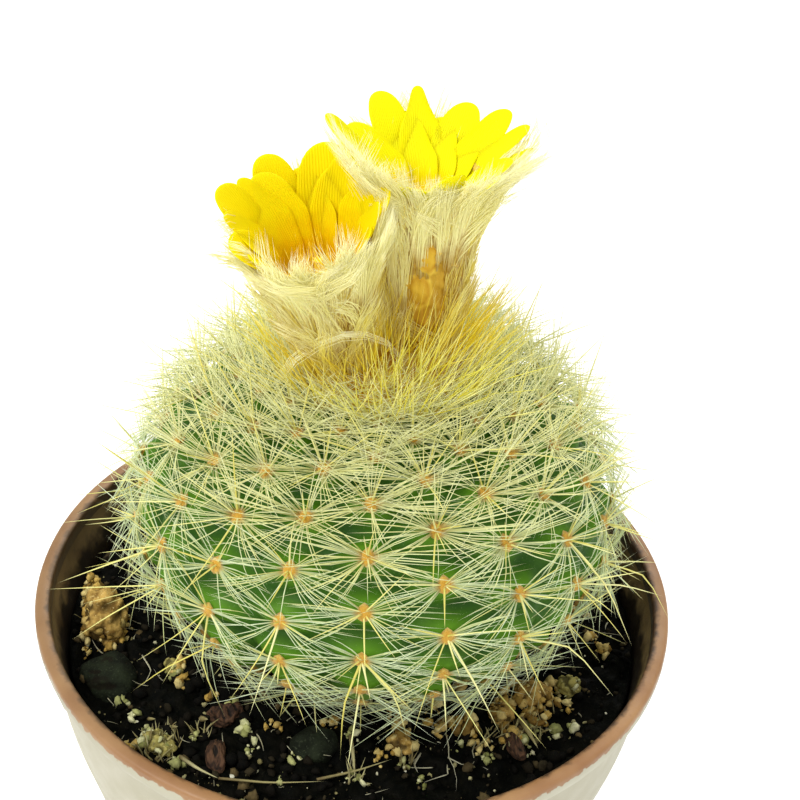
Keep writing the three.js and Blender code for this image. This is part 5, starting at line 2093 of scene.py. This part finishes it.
# Loose pieces: node, stuff, x and y, half sizes, turn, and the width of a clump's lobes.
LOOSE_PIECES = [LoosePiece(100 + k, *row) for k, row in enumerate((
    ("tan_clump_left", Stuff.CLUMP, (-33.2, -5.6), (3.4, 3.6, 5.2), 0.3, 1.2),
    ("stone_left", Stuff.STONE, (-31.2, -14.4), (3.3, 4.2, 2.3), 0.5),
    ("stone_front", Stuff.STONE, (-3.4, -24.6), (2.8, 2.6, 1.9), 0.1),
    ("bark_front_left", Stuff.BARK, (-15.0, -20.4), (2.2, 1.6, 1.4), 0.4),
    ("bark_front", Stuff.BARK, (-15.2, -27.0), (1.3, 2.4, 1.2), 0.2),
    ("tan_clump_right", Stuff.CLUMP, (24.0, -13.8), (3.1, 2.2, 1.9), 0.2, 0.85),
    ("tan_crumb_right", Stuff.CLUMP, (20.0, -17.4), (1.9, 1.7, 1.6), 0.9, 0.7),
    ("tan_crumb_front", Stuff.CLUMP, (15.0, -20.2), (1.6, 1.4, 1.3), 0.3, 0.6),
    ("tan_crumb_near_body", Stuff.CLUMP, (7.4, -24.0), (1.7, 1.9, 1.4), 1.1, 0.6),
    ("bark_right", Stuff.BARK, (21.6, -22.4), (1.0, 2.4, 1.0), 0.4),
    ("grey_crumb_right", Stuff.MOSS, (29.2, -11.4), (1.7, 1.8, 1.5), 0.6, 0.5),
    ("tan_crumb_left", Stuff.MOSS, (-22.8, -12.9), (1.2, 2.2, 1.2), 0.5, 0.5),
    ("moss_front_left", Stuff.MOSS, (-22.6, -25.4), (2.6, 1.8, 1.3), -0.6, 0.45),
))]
STUFF_FINISHES = {
    Stuff.CLUMP: StoneFinish("tan_clump", "cca85c", "80622e", "e8d08c", 1.2),
    Stuff.MOSS: StoneFinish("olive_moss", "b3a860", "7f7640", "d8cf94", 1.2),
    Stuff.STONE: StoneFinish("grey_green_stone", "242a1c", "10130c", "3a4030", 2.4),
    Stuff.BARK: BarkFinish("bark_chip", "5a3f2c", "2a1b12"),
}
STUFF_SLOTS = {Stuff.CLUMP: "crumb", Stuff.MOSS: "crumb", Stuff.STONE: "stone", Stuff.BARK: "bark"}


def put(piece: Piece, slot: str, *nodes: str) -> None:
    """Gives a finished piece to the frame.

    Args:
        piece: the piece.
        slot: a material slot's name; not used.
        *nodes: the CAD nodes that it stands for.
    """
    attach(piece, "root")
    if nodes:
        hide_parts(*nodes)
    triangles = sum(len(face.vertices) - 2 for face in piece.data.polygons)
    LOG.info("%s: %d triangles", piece.name, triangles)


def main() -> None:
    """Builds the camera, the stage and every piece, in order."""
    logging.basicConfig(level=logging.INFO, format="%(message)s")
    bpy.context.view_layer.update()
    studio = Studio()
    studio.camera()
    studio.lights()
    studio.floor()
    pot, soil, habit = Pot(), Soil(), Habit()
    put(pot.build(), "pot", "pot")
    put(soil.build(), "soil", "soil")
    for bits in BITS:
        put(soil.crumbs(bits), bits.slot, "soil")
    put(soil.roots(), "crumb", "soil")
    put(soil.straws(), "crumb", "soil")
    finishes = {stuff: finish.make() for stuff, finish in STUFF_FINISHES.items()}
    for loose in LOOSE_PIECES:
        piece = loose.build(soil)
        piece.data.materials.append(finishes[loose.stuff])
        put(piece, STUFF_SLOTS[loose.stuff], loose.node)
    left = Flower("left_flower", base=(-2.3, -2.8, 100.5), lean=(-3.7, -3.6, 18.6), length=19.3, foot=3.9,
                  throat=7.1, petal_list=LEFT_PETALS, tints=("f6e000", "ecbe00", "dca000"), seed=11,
                  wisps=LEFT_WISPS, arch=LEFT_ARCH)
    right = Flower("right_flower", base=(6.4, 1.2, 100.5), lean=(-0.5, -0.2, 24.6), length=24.6, foot=3.9,
                   throat=7.0, petal_list=RIGHT_PETALS, tints=("f4ee00", "f0dc00", "e4b000"), seed=29,
                   wisps=RIGHT_WISPS, bare=((278, 17.2, 1.25), (267, 12.6, 1.45), (95, 15, 1.4)))
    for flower in (left, right):
        put(flower.tube(), "wool", flower.name + "_tube")
        put(flower.wool(), "wool", flower.name + "_tube")
        if flower.arch:
            put(flower.arching_lock(), "wool", flower.name + "_tube")
        put(flower.petals(), "petals", flower.name + "_petals")
        put(flower.centre(), "stamens", flower.name + "_centre")
    crown = Crown(habit, [left, right])
    put(crown.cushion(), "wool", "crown_wool")
    put(crown.bristles(), "wool", "crown_wool")
    body = CactusBody(habit, soil, pot, [left, right], Areoles.of(habit, soil))
    put(body.skin(), "cactus", "cactus_body")
    put(body.cushions(), "wool", "cactus_body")
    put(body.radial_spines(), "cactus", "cactus_body")
    put(body.central_spines(), "cactus", "cactus_body")


if __name__ == "__main__":
    main()
